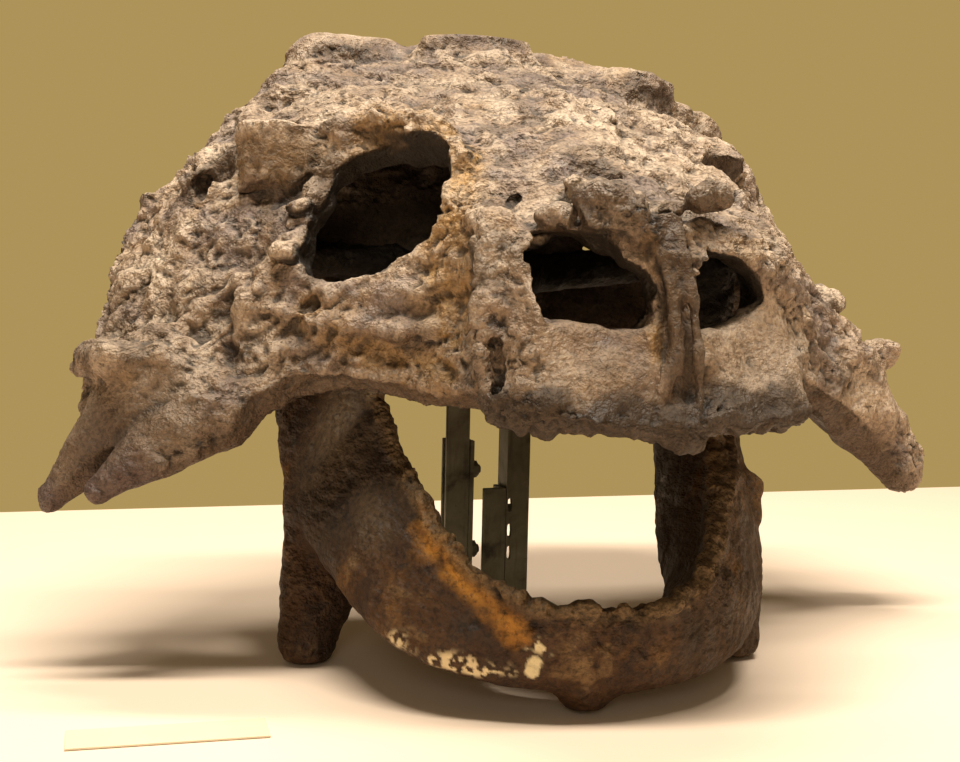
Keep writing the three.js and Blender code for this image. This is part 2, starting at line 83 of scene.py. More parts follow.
def makeCamera(values):
    turn, dip, roll = (math.radians(values[key]) for key in ("turn", "dip", "roll"))
    ahead = Vector((math.sin(turn) * math.cos(dip), math.cos(turn) * math.cos(dip), -math.sin(dip)))
    right = Vector((math.cos(turn), -math.sin(turn), 0))
    above = right.cross(ahead)
    sideways = right * math.cos(roll) + above * math.sin(roll)
    upwards = above * math.cos(roll) - right * math.sin(roll)
    camera = bpy.data.objects.new("camera", bpy.data.cameras.new("camera"))
    camera.data.lens = values["lens"]
    camera.data.sensor_width = 36
    camera.data.clip_start = 0.02
    camera.matrix_world = Matrix.Translation(values["eye"]) @ Matrix(
        (sideways, upwards, -ahead)
    ).transposed().to_4x4()
    bpy.context.scene.collection.objects.link(camera)
    bpy.context.scene.camera = camera


studio = {
    "floorSize": 2.6,
    "floorLow": 0.0003,  # how far the floor lies under the stand, so that the two don't flicker
    "floorColour": (0.90, 0.72, 0.56, 1),
    "wallColour": (0.420, 0.292, 0.100, 1),  # as the camera sees it
    "roomLight": (0.135, 0.100, 0.052, 1),  # as it falls on the bones
    # place, target, width and depth, watts, colour
    "lamps": [
        ((-0.12, -0.46, 1.90), (-0.02, -0.10, 0.1), (1.30, 0.14), 50.0, (1.0, 0.93, 0.81)),
        ((0.14, 0.30, 1.90), (0.04, 0.05, 0.1), (1.30, 0.14), 24.0, (1.0, 0.93, 0.81)),
        ((-0.80, -1.70, 0.8), (0.0, 0.0, 0.20), (0.50, 0.50), 4.0, (1.0, 0.92, 0.78)),
    ],
}


def makeStudio(values):
    left, right = (Vector((*point, 0)) for point in viewing["farEdge"])
    along = (right - left).normalized()
    ahead = Vector((-along.y, along.x, 0))
    size = values["floorSize"]
    middle = (left + right) / 2
    corners = [
        middle + along * sx * size / 2 - ahead * sy * size for sx, sy in ((-1, 1), (1, 1), (1, 0), (-1, 0))
    ]
    mesh = bpy.data.meshes.new("floor")
    mesh.from_pydata([(*corner.to_2d(), -values["floorLow"]) for corner in corners], [], [(0, 1, 2, 3)])
    floor = bpy.data.objects.new("floor", mesh)
    bpy.context.scene.collection.objects.link(floor)
    made = bpy.data.materials.new("palePaper")
    made.use_nodes = True
    shader = made.node_tree.nodes["Principled BSDF"]
    shader.inputs["Base Color"].default_value = values["floorColour"]
    shader.inputs["Roughness"].default_value = 0.65
    mesh.materials.append(made)
    world = bpy.data.worlds.new("warmRoom")
    world.use_nodes = True
    tree = world.node_tree
    seen = tree.nodes.new("ShaderNodeLightPath").outputs["Is Camera Ray"]
    either = tree.nodes.new("ShaderNodeMix")
    either.data_type = "RGBA"
    tree.links.new(seen, either.inputs[0])
    either.inputs[6].default_value = values["roomLight"]
    either.inputs[7].default_value = values["wallColour"]
    tree.links.new(either.outputs[2], tree.nodes["Background"].inputs["Color"])
    bpy.context.scene.world = world
    for i, (spot, target, size, watts, colour) in enumerate(values["lamps"]):
        lamp = bpy.data.lights.new(f"lamp{i + 1}", "AREA")
        lamp.shape = "RECTANGLE"
        lamp.size, lamp.size_y = size
        lamp.energy = watts
        lamp.color = colour
        held = bpy.data.objects.new(f"lamp{i + 1}", lamp)
        held.location = spot
        held.rotation_euler = (Vector(target) - Vector(spot)).to_track_quat("-Z", "Y").to_euler()
        bpy.context.scene.collection.objects.link(held)
    bpy.context.scene.view_settings.view_transform = "Standard"


makeCamera(viewing)
makeStudio(studio)
say("camera and studio stand")

# Noise on arrays of points


# A number from 0 to 1 for each whole-numbered cell, mixed from its three indices and a seed.
def hashed(cell, seed):
    x, y, z = (cell[..., i].astype(np.uint32) for i in range(3))
    n = x * np.uint32(73856093) ^ y * np.uint32(19349663) ^ z * np.uint32(83492791)
    n = n ^ np.uint32((seed * 2654435761) & 0xFFFFFFFF)
    n = (n ^ (n >> np.uint32(13))) * np.uint32(1274126177)
    n = (n ^ (n >> np.uint32(16))) * np.uint32(2246822519)
    return ((n ^ (n >> np.uint32(13))) / 4294967295.0).astype(np.float32)


skew = np.array([[0.36, 0.48, -0.8], [-0.8, 0.6, 0.0], [0.48, 0.64, 0.6]])  # turns the lattice off the axes


# Smooth noise from -1 to 1: hashed corners blended with 6f^5 - 15f^4 + 10f^3.
def noise(points, size, seed):
    q = (points @ skew) / size
    base = np.floor(q).astype(np.int64)
    f = (q - base).astype(np.float32)
    f = f * f * f * (f * (f * 6 - 15) + 10)
    total = np.zeros(points.shape[:-1], np.float32)
    for corner in itertools.product((0, 1), repeat=3):
        share = np.prod(np.where(np.array(corner, bool), f, 1 - f), axis=-1)
        total += share * hashed(base + corner, seed)
    return 2 * total - 1


# Octaves of smooth noise, each half as large and `keep` times as strong as the last.
def layered(points, size, seed, octaves=3, keep=0.5):
    total, strength = 0, 1.0
    for i in range(octaves):
        total = total + strength * noise(points, size / 2**i, seed + i)
        strength *= keep
    return total


# Nearest and second nearest of one scattered seed point per cell, in cell sizes, and the nearest one's own
# number from 0 to 1.
def scattered(points, size, seed):
    q = ((points @ skew) / size).astype(np.float32)
    base = np.floor(q).astype(np.int64)
    first = np.full(points.shape[:-1], 9.0, np.float32)
    second = first.copy()
    number = np.zeros_like(first)
    for step in itertools.product((-1, 0, 1), repeat=3):
        cell = base + step
        spot = cell + np.stack([hashed(cell, seed + k) for k in range(3)], -1)
        distance = np.sqrt(((q - spot) ** 2).sum(-1))
        closer = distance < first
        second = np.where(closer, first, np.minimum(second, distance))
        number = np.where(closer, hashed(cell, seed + 7), number)
        first = np.where(closer, distance, first)
    return first, second, number


def ramp(value, low, high):
    t = np.clip((value - low) / (high - low), 0, 1)
    return t * t * (3 - 2 * t)


# Distances on a lattice: negative inside the bone, positive outside

band = 8  # how many steps of the lattice a distance is true for


# A lattice of points `step` apart that fills the box between two corners.
def lattice(low, high, step):
    low = np.array(low, float)
    count = np.ceil((np.array(high, float) - low) / step).astype(int) + 1
    return {"low": low, "step": step, "count": count}


# Signed distance to a closed skin that is given as grids of points.
def distanceTo(grids, space):
    points, quads, start = [], [], 0
    for grid in grids:
        rows, columns = grid.shape[:2]
        index = start + np.arange(rows * columns).reshape(rows, columns)
        around = [index[:-1, :-1], index[1:, :-1], index[1:, 1:], index[:-1, 1:]]
        quads.append(np.stack(around, -1).reshape(-1, 4))
        points.append(grid.reshape(-1, 3))
        start += rows * columns
    inSteps = (np.vstack(points) - space["low"]) / space["step"]
    level = openvdb.FloatGrid.createLevelSetFromPolygons(
        inSteps.astype(np.float32), quads=np.vstack(quads).astype(np.uint32), halfWidth=float(band)
    )
    field = np.full(tuple(space["count"]), float(band), np.float32)
    level.copyToArray(field)
    return field * space["step"]


# Points of the skin where the field is zero, and its quads.
def skinOf(field, space):
    level = openvdb.FloatGrid(float(band))
    level.copyFromArray(np.clip(field / space["step"], -band, band).astype(np.float32))
    points, triangles, quads = level.convertToPolygons(0.0, 0.0)
    return points * space["step"] + space["low"], triangles, quads


def softMin(a, b, blend):
    near = np.maximum(blend - np.abs(a - b), 0) / blend
    return np.minimum(a, b) - near * near * blend / 4


# Joins a shape to the field, or carves it out. A shape is a pair: a function from points to distances, and
# the corners of a box round it; `blend` is the width of the fillet.
def joinTo(field, space, shape, blend, carve=False):
    distance, low, high = shape
    first = np.maximum(np.floor((low - blend - space["low"]) / space["step"]).astype(int), 0)
    last = np.minimum(np.ceil((high + blend - space["low"]) / space["step"]).astype(int) + 1, space["count"])
    if (last <= first).any():
        return
    part = tuple(slice(a, b) for a, b in zip(first, last))
    axes = [space["low"][i] + space["step"] * np.arange(first[i], last[i]) for i in range(3)]
    points = np.stack(np.meshgrid(*axes, indexing="ij"), -1).astype(np.float32)
    other = distance(points)
    if carve:
        field[part] = -softMin(-field[part], other, blend)
    else:
        field[part] = softMin(field[part], other, blend)


# An ellipsoid; its own third axis is turned towards `lie`. Distance is k(k - 1) / |p / r^2|, k = |p / r|.
def lump(at, size, lie=(0, 0, 1)):
    at, size = np.array(at, float), np.array(size, float)
    turned = np.array(Vector((0, 0, 1)).rotation_difference(Vector(lie)).to_matrix())

    def distance(points):
        q = (points - at) @ turned
        k = np.sqrt(((q / size) ** 2).sum(-1)) + 1e-6
        return k * (k - 1) / (np.sqrt(((q / size**2) ** 2).sum(-1)) + 1e-6)

    reach = np.full(3, size.max())
    return distance, at - reach, at + reach


# A bar with round ends whose radius runs evenly from its root to its tip; `flat` is its depth over its
# width across the direction `across`.
def horn(root, tip, rootRadius, tipRadius, flat=1.0, across=(0, 1, 0)):
    root, tip = np.array(root, float), np.array(tip, float)
    along = tip - root
    side = np.array(across, float)
    side = side - along * (side @ along) / (along @ along)
    side = side / np.linalg.norm(side)

    def distance(points):
        q = points - root
        run = np.clip(q @ along / (along @ along), 0, 1)
        off = q - run[..., None] * along
        off = off + (off @ side)[..., None] * side * (1 / flat - 1)
        return np.sqrt((off**2).sum(-1)) - (rootRadius + (tipRadius - rootRadius) * run)

    reach = max(rootRadius, tipRadius)
    return distance, np.minimum(root, tip) - reach, np.maximum(root, tip) + reach


def block(low, high):
    low, high = np.array(low, float), np.array(high, float)

    def distance(points):
        return np.maximum(low - points, points - high).max(-1)

    return distance, low, high


# A prism over a closed outline in two of the axes, from `start` to `end` along the third one.
def prism(outline, axes, start, end):
    outline = np.array(outline, float)
    other = ({0, 1, 2} - set(axes)).pop()

    def distance(points):
        p = points[..., axes]
        nearest = np.full(p.shape[:-1], 1e9, np.float32)
        inside = np.zeros(p.shape[:-1], bool)
        for a, b in zip(outline, np.roll(outline, -1, 0)):
            edge, q = b - a, p - a
            share = np.clip(q @ edge / (edge @ edge), 0, 1)[..., None]
            nearest = np.minimum(nearest, ((q - share * edge) ** 2).sum(-1))
            crosses = (a[1] > p[..., 1]) != (b[1] > p[..., 1])
            inside ^= crosses & (q[..., 0] < edge[0] * q[..., 1] / (edge[1] if edge[1] else 1e-9))
        flat = np.where(inside, -1, 1) * np.sqrt(nearest)
        return np.maximum(flat, np.maximum(start - points[..., other], points[..., other] - end))

    low, high = np.zeros(3), np.zeros(3)
    low[list(axes)], high[list(axes)] = outline.min(0), outline.max(0)
    low[other], high[other] = start, end
    return distance, low, high


# A hole of any outline, given as (u, v) along `long` and along the cross product of `axis` and `long`. Its
# lip is uneven, and it reaches `depth` to both sides of `at`.
def opening(outline, at, axis, long, depth, uneven=1.5):
    at, outline = np.array(at, float), np.array(outline, float)
    axis = np.array(axis, float) / np.linalg.norm(axis)
    long = np.array(long, float)
    long = long - axis * (long @ axis)
    long = long / np.linalg.norm(long)
    wide = np.cross(axis, long)
    flat = prism(outline, (0, 1), -depth, depth)[0]

    def distance(points):
        q = points - at
        return flat(np.stack([q @ long, q @ wide, q @ axis], -1)) + uneven * noise(points, 9, 71)

    corners = np.array([at + long * u + wide * v + axis * w for u, v in outline for w in (-depth, depth)])
    return distance, corners.min(0) - 3, corners.max(0) + 3


# The mirror image of a shape on the other side of x = 0.
def flipped(shape):
    distance, low, high = shape
    other = np.array([-1, 1, 1])
    corners = np.array([low * other, high * other])
    return (lambda points: distance(points * other)), corners.min(0), corners.max(0)


# Several bars end to end.
def ridge(points, radii):
    return [horn(a, b, ra, rb) for a, b, ra, rb in zip(points, points[1:], radii, radii[1:])]


# Curves shared by the cranium and the jaw


# Smooth curve through evenly spaced points, at s from 0 to 1. It goes on as its own mirror image before
# the first point: p = (2 p1 + (p2 - p0) f + (2 p0 - 5 p1 + 4 p2 - p3) f^2 + (3 p1 - p0 - 3 p2 + p3) f^3) / 2.
def curveThrough(points, s):
    points = np.array(points, float)
    padded = np.vstack([points[1] * (-1, 1, 1), points, points[-1]])
    at = np.clip(s, 0, 1) * (len(points) - 1)
    i = np.minimum(at.astype(int), len(points) - 2)
    f = (at - i)[..., None]
    p0, p1, p2, p3 = (padded[i + k] for k in range(4))
    bend = 2 * p0 - 5 * p1 + 4 * p2 - p3
    twist = 3 * p1 - p0 - 3 * p2 + p3
    return 0.5 * (2 * p1 + (p2 - p0) * f + bend * f**2 + twist * f**3)


def unit(vectors):
    return vectors / (np.linalg.norm(vectors, axis=-1, keepdims=True) + 1e-9)


# The cranium

cranium = {
    "step": 1.68 if fine else 2.6,
    "box": ((-296, -202, 72), (296, 152, 388)),
    "wall": 21,
    "heart": (0, 60, 60),  # the bones are thickened towards this point
    "shoulderAt": 0.42,
    "shoulderSoft": 0.055,
    "hummocks": (40, 8, 3.6),  # cells round the cranium, cells from ridge to rim, half-height
    "grid": (200, 60),  # points of the vault's skin round the cranium, and from ridge to rim
    # ridge on the middle line, shoulder, lower rim, bulge: from the snout's tip to the roof's rear corner
    "stations": [
        ((0, -158, 247), (0, -163, 243), (0, -182, 150), -3),
        ((0, -152, 250), (58, -157, 243), (62, -172, 154), -4),
        ((0, -140, 256), (84, -138, 244), (86, -144, 164), 0),
        ((0, -112, 271), (88, -100, 257), (97, -98, 160), 0),
        ((0, -76, 292), (96, -58, 278), (150, -50, 166), 3),
        ((0, -40, 311), (112, -16, 296), (205, -28, 138), 6),
        ((0, -2, 328), (128, 20, 306), (248, 8, 122), 7),
        ((0, 34, 342), (137, 52, 318), (252, 56, 166), 9),
        ((0, 68, 354), (139, 78, 319), (230, 96, 226), 6),
        ((0, 96, 359), (130, 94, 335), (198, 112, 266), 3),
        ((0, 118, 364), (118, 114, 349), (150, 124, 314), 2),
        ((0, 136, 367), (64, 137, 369), (108, 137, 358), 0),
    ],
    "cheekOut": (-0.6, -0.63, 0.49),
    "orbitAt": (-115, -49, 251),
    "orbitLong": (0.71, -0.22, 0.67),
    "orbitDepth": 60,
    "orbit": [
        (50, 7), (36, -16), (23, -30), (10, -33), (-8, -30), (-25, -25), (-36, -17), (-45, -8), (-49, 4),
        (-45, 15), (-26, 32), (-6, 44), (10, 48), (28, 39), (43, 23),
    ],
    "nostrilAt": (0, -163, 0),
    "nostrilDepth": 46,
    # x and z of the nostrils' outlines
    "nostrilRight": [
        (-66, 241), (-50, 243), (-38, 240), (-29, 230), (-15, 221), (-12, 205), (-19, 195), (-40, 197),
        (-66, 199), (-71, 207), (-72, 231),
    ],
    "nostrilLeft": [
        (16, 235), (35, 231), (47, 219), (52, 211), (41, 200), (25, 195), (13, 194), (9, 203), (11, 220),
    ],
    "palateOutline": [
        (0, -172), (62, -160), (88, -130), (96, -90), (134, -56), (128, -34),
        (82, -18), (64, 16), (62, 62), (36, 84), (0, 104),
    ],
    "palateLow": 166,
    "palateThick": 14,
    "occiputFront": 102,
    "occiputRear": 115,
    "snoutCut": -90,
    "cheekCut": {"at": (-103, 20, 0), "out": (-0.983, -0.182, 0)},
    "roofCut": 197,
    "palateCut": 45,
}


# Height of the hummocks, from -1 to 1: one number per corner of their cells, blended with f^2 (3 - 2 f). The
# middle line's corners have one number for both sides.
def hummock(a, t):
    across, down, _ = cranium["hummocks"]
    u, v = (1 - a) / 2 * across, t * down
    i, j = np.minimum(np.floor(u), across - 1), np.minimum(np.floor(v), down - 1)
    shareU, shareV = ((w - k) ** 2 * (3 - 2 * (w - k)) for w, k in ((u, i), (v, j)))

    def corner(p, q):
        mix = np.sin(12.9898 * np.where(q == 0, np.minimum(p, across - p), p) + 78.233 * q) * 4375.85
        return 2 * (mix - np.floor(mix)) - 1

    near, far = (corner(i, q) * (1 - shareU) + corner(i + 1, q) * shareU for q in (j, j + 1))
    return near * (1 - shareV) + far * shareV


# A point of the vault, `depth` under its face. a runs from -1 at the roof's right rear corner through 0 at
# the snout to 1, and t from 0 on the ridge to 1 on the rim: ridge + (shoulder - ridge) A(t) +
# (rim - shoulder) B(t), with A and B two ramps joined softly, swollen by bulge sin(pi B).
def vaultPoint(a, t, depth):
    stations = cranium["stations"]
    s = np.abs(a)
    ridgeAt, shoulder, rim = (curveThrough([row[i] for row in stations], s) for i in range(3))
    bulge = curveThrough([(0, row[3], 0) for row in stations], s)[..., 1]
    soft, where = cranium["shoulderSoft"], cranium["shoulderAt"]

    def bent(v):
        return soft * np.log1p(np.exp(v / soft))

    start = bent(-where)
    past = (bent(t - where) - start) / (bent(1 - where) - start)
    upTo = (t - past * (1 - where)) / where
    p = ridgeAt + (shoulder - ridgeAt) * upTo[..., None] + (rim - shoulder) * past[..., None]
    swell = bulge * np.sin(np.pi * np.clip(past, 0, 1)) + cranium["hummocks"][2] * hummock(a, t)
    p = p + unit(np.array(cranium["heart"]) - p) * (depth - swell)[..., None]
    p[..., 0] = np.where((s == 0) | (t == 0), 0, p[..., 0] * np.sign(a))
    return p


# The closed shell between two depths under the vault's face, as grids.
def vaultShell(outer, inner, across, down):
    a = np.linspace(1, -1, across + 1)[:, None] * np.ones(down + 1)
    t = np.ones(across + 1)[:, None] * np.linspace(0, 1, down + 1)
    both = np.array([outer, inner], float)
    rimSide, rimDepth = np.meshgrid(a[:, 0], both, indexing="ij")
    grids = [vaultPoint(a, t, outer + 0 * t), vaultPoint(-a, t, inner + 0 * t)]
    grids.append(vaultPoint(rimSide, np.ones_like(rimSide), rimDepth))
    for end in (1, -1):
        rearTurn, rearDepth = np.meshgrid(t[0], both[::end], indexing="ij")
        grids.append(vaultPoint(np.full_like(rearTurn, float(end)), rearTurn, rearDepth))
    return grids


def mirrored(point):
    return (-point[0], point[1], point[2])


# Bones that lie behind and under the vault.
def hiddenBones(core, space):
    low, thick = cranium["palateLow"], cranium["palateThick"]
    front, rear = cranium["occiputFront"], cranium["occiputRear"]
    outline = cranium["palateOutline"]
    wholeOutline = outline + [(-x, y) for x, y in reversed(outline[1:-1])]
    clipped = [
        prism(wholeOutline, (0, 1), low, low + thick),
        block((-190, front, 206), (190, rear, 366)),
    ]
    for shape in clipped:
        part = np.full_like(core, band * space["step"])
        joinTo(part, space, shape, 1.0)
        yield np.maximum(part, core)


# Corners of an ellipse in a plane.
def ringOf(middle, radii, corners):
    turns = 2 * np.pi * np.arange(corners) / corners
    return np.array(middle) + np.stack([np.cos(turns), np.sin(turns)], -1) * radii


cheekOut = cranium["cheekOut"]
occiputBelow = [(-214, 262), (-214, 186), (-150, 178), (150, 178), (214, 186), (214, 262)]
# shape, fillet
growths = [
    (prism(occiputBelow, (0, 2), cranium["occiputFront"], cranium["occiputRear"]), 6),
    (horn((0, 108, 352), (0, 100, 176), 40, 36, 0.55), 12),
    (horn((0, 96, 196), (0, 22, 180), 30, 18, 0.7, (0, 0, 1)), 12),
    (lump((0, 120, 181), (16, 15, 13)), 8),
    *[(horn(m((-16, 112, 262)), m((-176, 104, 244)), 20, 14), 14) for m in (tuple, mirrored)],
    *[(horn(m((-24, 76, 218)), m((-164, 88, 230)), 12, 10), 10) for m in (tuple, mirrored)],
    *[(horn(m((-166, 92, 242)), m((-162, 76, 152)), 22, 16), 10) for m in (tuple, mirrored)],
    # cheek horns: two on the right with a web between them, one on the left
    (horn((-216, 8, 160), (-274, 15, 97), 30, 8.5), 8),
    (horn((-196, -20, 146), (-253, -15, 104), 24, 8), 8),
    (horn((204, -2, 164), (270, 0, 96), 31, 17, 0.8), 16),
]
cornerLumps = [
    (lump((-98, 124, 355), (19, 15, 13)), 14),
    (horn((-92, 126, 354), (-56, 132, 360), 11, 9), 12),
    (lump((112, 108, 343), (28, 24, 13)), 22),
    (lump((150, 108, 306), (40, 14, 28)), 12),
    (lump((226, 36, 202), (15, 14, 13)), 8),
    (lump((-246, 50, 170), (10, 11, 9)), 6),
    (lump((246, 54, 170), (13, 13, 11)), 8),
]
faceLumps = [
    (lump((-145, 36, 283), (27, 18, 17), cheekOut), 7),
    (lump((145, 36, 283), (27, 18, 17), mirrored(cheekOut)), 7),
    (prism(ringOf((-152, 19), (23, 18), 12), (0, 1), 262, 300), 3),
    (lump((-189, 62, 268), (8, 9, 8)), 5),
    # flakes on the right orbit's rear rim
    (lump((-147, -15, 252), (5, 8, 11), (-0.9, -0.1, 0.3)), 2),
    (lump((-154, -27, 228), (5, 8, 12), (-0.8, -0.3, 0.1)), 2),
    # nasal bosses and the knobs beside them
    (lump((-30, -156, 252), (19, 14, 15)), 5),
    (lump((-41, -150, 258), (9, 8, 7)), 4),
    (lump((-22, -164, 243), (10, 8, 8)), 4),
    (lump((-40, -162, 244), (8, 7, 6)), 3),
    (lump((-57, -142, 249), (10, 8, 6)), 4),
    (horn((14, -157, 260), (31, -149, 261), 7.5, 6), 6),
    (lump((2, -150, 254), (6, 8, 5)), 4),
    (lump((-36, -122, 263), (7, 6, 6)), 3),
    (lump((-77, -122, 243), (10, 12, 11)), 7),
    # supraorbital knobs
    (lump((116, -12, 288), (13, 12, 12)), 6),
    (lump((98, -38, 280), (8, 9, 7)), 5),
    (lump((-84, -40, 292), (13, 12, 9)), 6),
    # margin of the upper jaw
    (lump((0, -172, 150), (14, 13, 14)), 6),
    (lump((-2, -177, 145), (6, 6, 9)), 4),
    (lump((-66, -150, 160), (17, 15, 16)), 7),
    (lump((-82, -143, 160), (8, 8, 13)), 5),
    (lump((52, -157, 160), (17, 15, 16)), 7),
    (lump((66, -152, 152), (7, 7, 9)), 4),
    (lump((-30, -170, 153), (13, 9, 6)), 5),
    (lump((30, -170, 154), (11, 9, 6)), 5),
]
# the two ridges of the bar between the nostrils
nasalRidges = [
    (
        [(-16, -160, 248), (-12, -169, 230), (-9, -175, 210), (-8, -177, 188), (-12, -176, 168)],
        (4, 3, 2.6, 2.6, 2.4),
    ),
    (
        [(-2, -161, 250), (-2, -171, 230), (1, -177, 210), (3, -180, 187), (4, -181, 162)],
        (4, 3, 2.4, 2.6, 3),
    ),
    (
        [(-9, -160, 250), (-7, -169, 232), (-5, -173, 214), (-5, -176, 196), (-6, -178, 176)],
        (3, 2, 1.6, 1.4, 1.4),
    ),
]
# raised edges of bones: points and radii
raisedEdges = [
    ([(-138, 8, 284), (-122, 1, 293), (-102, -9, 301), (-84, -34, 297), (-74, -60, 281)], (7, 8, 9, 8, 6)),
    ([(138, 8, 282), (122, 1, 290), (102, -9, 296), (84, -34, 289), (74, -60, 274)], (6, 7, 6, 5, 4)),
    ([(-252, 40, 168), (-244, -4, 172), (-226, -10, 168), (-204, -14, 162)], (9, 10, 8, 4)),
    ([(252, 40, 168), (244, -4, 172), (226, -10, 168), (204, -14, 162)], (8, 9, 7, 4)),
    (
        [(-78, -100, 252), (-84, -124, 232), (-86, -135, 205), (-85, -139, 180), (-82, -142, 163)],
        (5, 8, 8, 7, 6),
    ),
    ([(78, -104, 252), (82, -126, 232), (80, -140, 208), (78, -143, 184), (76, -146, 166)], (5, 7, 7, 6, 5)),
    ([(-150, -28, 214), (-128, -48, 206), (-108, -72, 208), (-94, -92, 216)], (5, 6, 6, 5)),
]
# sharp folds of the right cheek: down to the horns, and the lip under the orbit
cheekFolds = [
    ([(-180, -10, 213), (-198, 0, 195), (-214, 5, 177)], (2, 3.4, 2)),
    ([(-176, -21, 200), (-192, -16, 183), (-207, -15, 166)], (2, 3.4, 2)),
    ([(-188, 6, 223), (-204, 16, 205), (-219, 22, 187)], (1.5, 3, 2)),
    ([(-178, -10, 216), (-180, -20, 198), (-183, -27, 180)], (2.5, 4.5, 4)),
    (
        [(-168, -31, 199), (-150, -45, 195), (-133, -61, 192), (-112, -79, 191), (-98, -93, 193)],
        (2, 3.5, 4, 3.5, 2),
    ),
]
# holes and hollows: shape, fillet
hollows = [
    (lump((88, 112, 236), (12, 60, 3.5)), 1),
    (lump((-45, -190, 205), (36, 30, 34)), 5),
    (lump((45, -188, 198), (36, 28, 34)), 6),
    (horn((-87, -143, 186), (-85, -147, 158), 5, 1.5), 3),
    # the right orbit's rear rim, the lip's underside, and the crevice under the boss
    (horn((-134, -14, 270), (-144, -38, 221), 5, 6), 4),
    (horn((-160, -50, 177), (-118, -86, 177), 7, 7), 6),
    (horn((-158, 4, 254), (-138, -2, 269), 1.5, 3), 4),
    (lump((-98, -108, 214), (9, 14, 22)), 10),
    (lump((-92, -122, 190), (6, 9, 8)), 4),
    (horn((-78, -112, 256), (-60, -104, 258), 3, 2), 2),
    (lump((13, -168, 252), (8, 6, 5)), 2),
    (lump((33, -160, 252), (4, 6, 5)), 2),
    (horn((-32, -114, 267), (-13, -105, 273), 4, 6), 4),
    (lump((-21, -110, 270), (6, 7, 9)), 3),
    (lump((-13, -104, 275), (11, 8, 7)), 3),
    (horn((-10, -104, 275), (0, -98, 280), 4, 2), 4),
    (horn((-232, -6, 128), (-272, -2, 92), 5, 9), 4),
    (lump((-200, 44, 262), (16, 20, 10), cheekOut), 8),
    (lump((-177, 50, 278), (8, 10, 14)), 3),
    (lump((-184, 55, 266), (9, 9, 10)), 3),
    (horn((-176, 12, 262), (-150, -4, 262), 3, 4), 4),
    (lump((-150, 33, 302), (15, 8, 5)), 4),
    (lump((62, 86, 351), (17, 6, 6)), 3),
    (lump((74, 78, 346), (8, 6, 6)), 3),
    (lump((-46, -18, 317), (8, 6, 6)), 3),
    (lump((-34, -30, 313), (7, 5, 6)), 3),
    (lump((84, 108, 360), (12, 7, 6)), 3),
    (lump((96, 38, 328), (13, 8, 7)), 4),
    (lump((-62, -34, 309), (7, 7, 6)), 3),
    (lump((20, -118, 274), (10, 7, 6)), 4),
    (lump((-14, -126, 268), (7, 6, 5)), 3),
    (lump((52, -96, 282), (9, 8, 6)), 4),
    (lump((40, 8, 335), (14, 6, 5)), 4),
    (lump((-8, 44, 349), (6, 9, 6)), 4),
]


fillets = {"bones": 6, "edges": 7, "folds": 6, "openings": 4, "nasal": 3}
underFace = {}  # distances to the space under the vault, kept for the marks


def joinRidges(field, space, ridges, blend):
    for points, radii in ridges:
        for shape in ridge(points, radii):
            joinTo(field, space, shape, blend)


def craniumField(space):
    field = distanceTo(vaultShell(0, cranium["wall"], *cranium["grid"]), space)
    core = distanceTo(vaultShell(cranium["wall"] / 2, 200, 80, 24), space)
    underFace["field"], underFace["space"] = core, space
    for part in hiddenBones(core, space):
        field = softMin(field, part, fillets["bones"])
    for shape, blend in growths + cornerLumps + faceLumps:
        joinTo(field, space, shape, blend)
    joinRidges(field, space, raisedEdges, fillets["edges"])
    joinRidges(field, space, cheekFolds, fillets["folds"])
    orbit = opening(
        cranium["orbit"], cranium["orbitAt"], cheekOut, cranium["orbitLong"], cranium["orbitDepth"]
    )
    openings = [orbit, flipped(orbit)]
    for key in ("nostrilRight", "nostrilLeft"):
        outline = np.array(cranium[key]) * (-1, 1)
        openings.append(
            opening(outline, cranium["nostrilAt"], (0, 1, 0), (-1, 0, 0), cranium["nostrilDepth"])
        )
    for shape in openings:
        joinTo(field, space, shape, fillets["openings"], carve=True)
    for shape, blend in hollows:
        joinTo(field, space, shape, blend, carve=True)
    joinRidges(field, space, nasalRidges, fillets["nasal"])
    return field


# The weathered face of the bone


# A mask that is 1 within `inner` of any of the places and 0 beyond `outer`.
def nearTo(points, places, inner, outer):
    nearest = np.full(len(points), 1e9)
    for spot in places:
        nearest = np.minimum(nearest, np.linalg.norm(points - spot, axis=1))
    return 1 - ramp(nearest, inner, outer)


# Distance to a line of bars through the places.
def distanceToLine(points, places):
    nearest = np.full(len(points), 1e9)
    for a, b in zip(np.array(places, float), np.array(places[1:], float)):
        share = np.clip((points - a) @ (b - a) / ((b - a) @ (b - a)), 0, 1)[:, None]
        nearest = np.minimum(nearest, np.linalg.norm(points - a - share * (b - a), axis=1))
    return nearest


# For each key the strongest of its stains at each point. A stain runs along a line or lies round some spots:
# places, how much `ragged` roughens its outline, where it is full and where it is gone, strength.
def stained(points, ragged, stains):
    found = {}
    for key, rows in stains.items():
        for kind, places, uneven, inner, outer, strength in rows:
            if kind == "line":
                there = 1 - ramp(distanceToLine(points, places) + uneven * ragged, inner, outer)
            else:
                there = nearTo(points + uneven * ragged[:, None], places, inner, outer)
            found[key] = np.maximum(found.get(key, 0), strength * there)
    return found


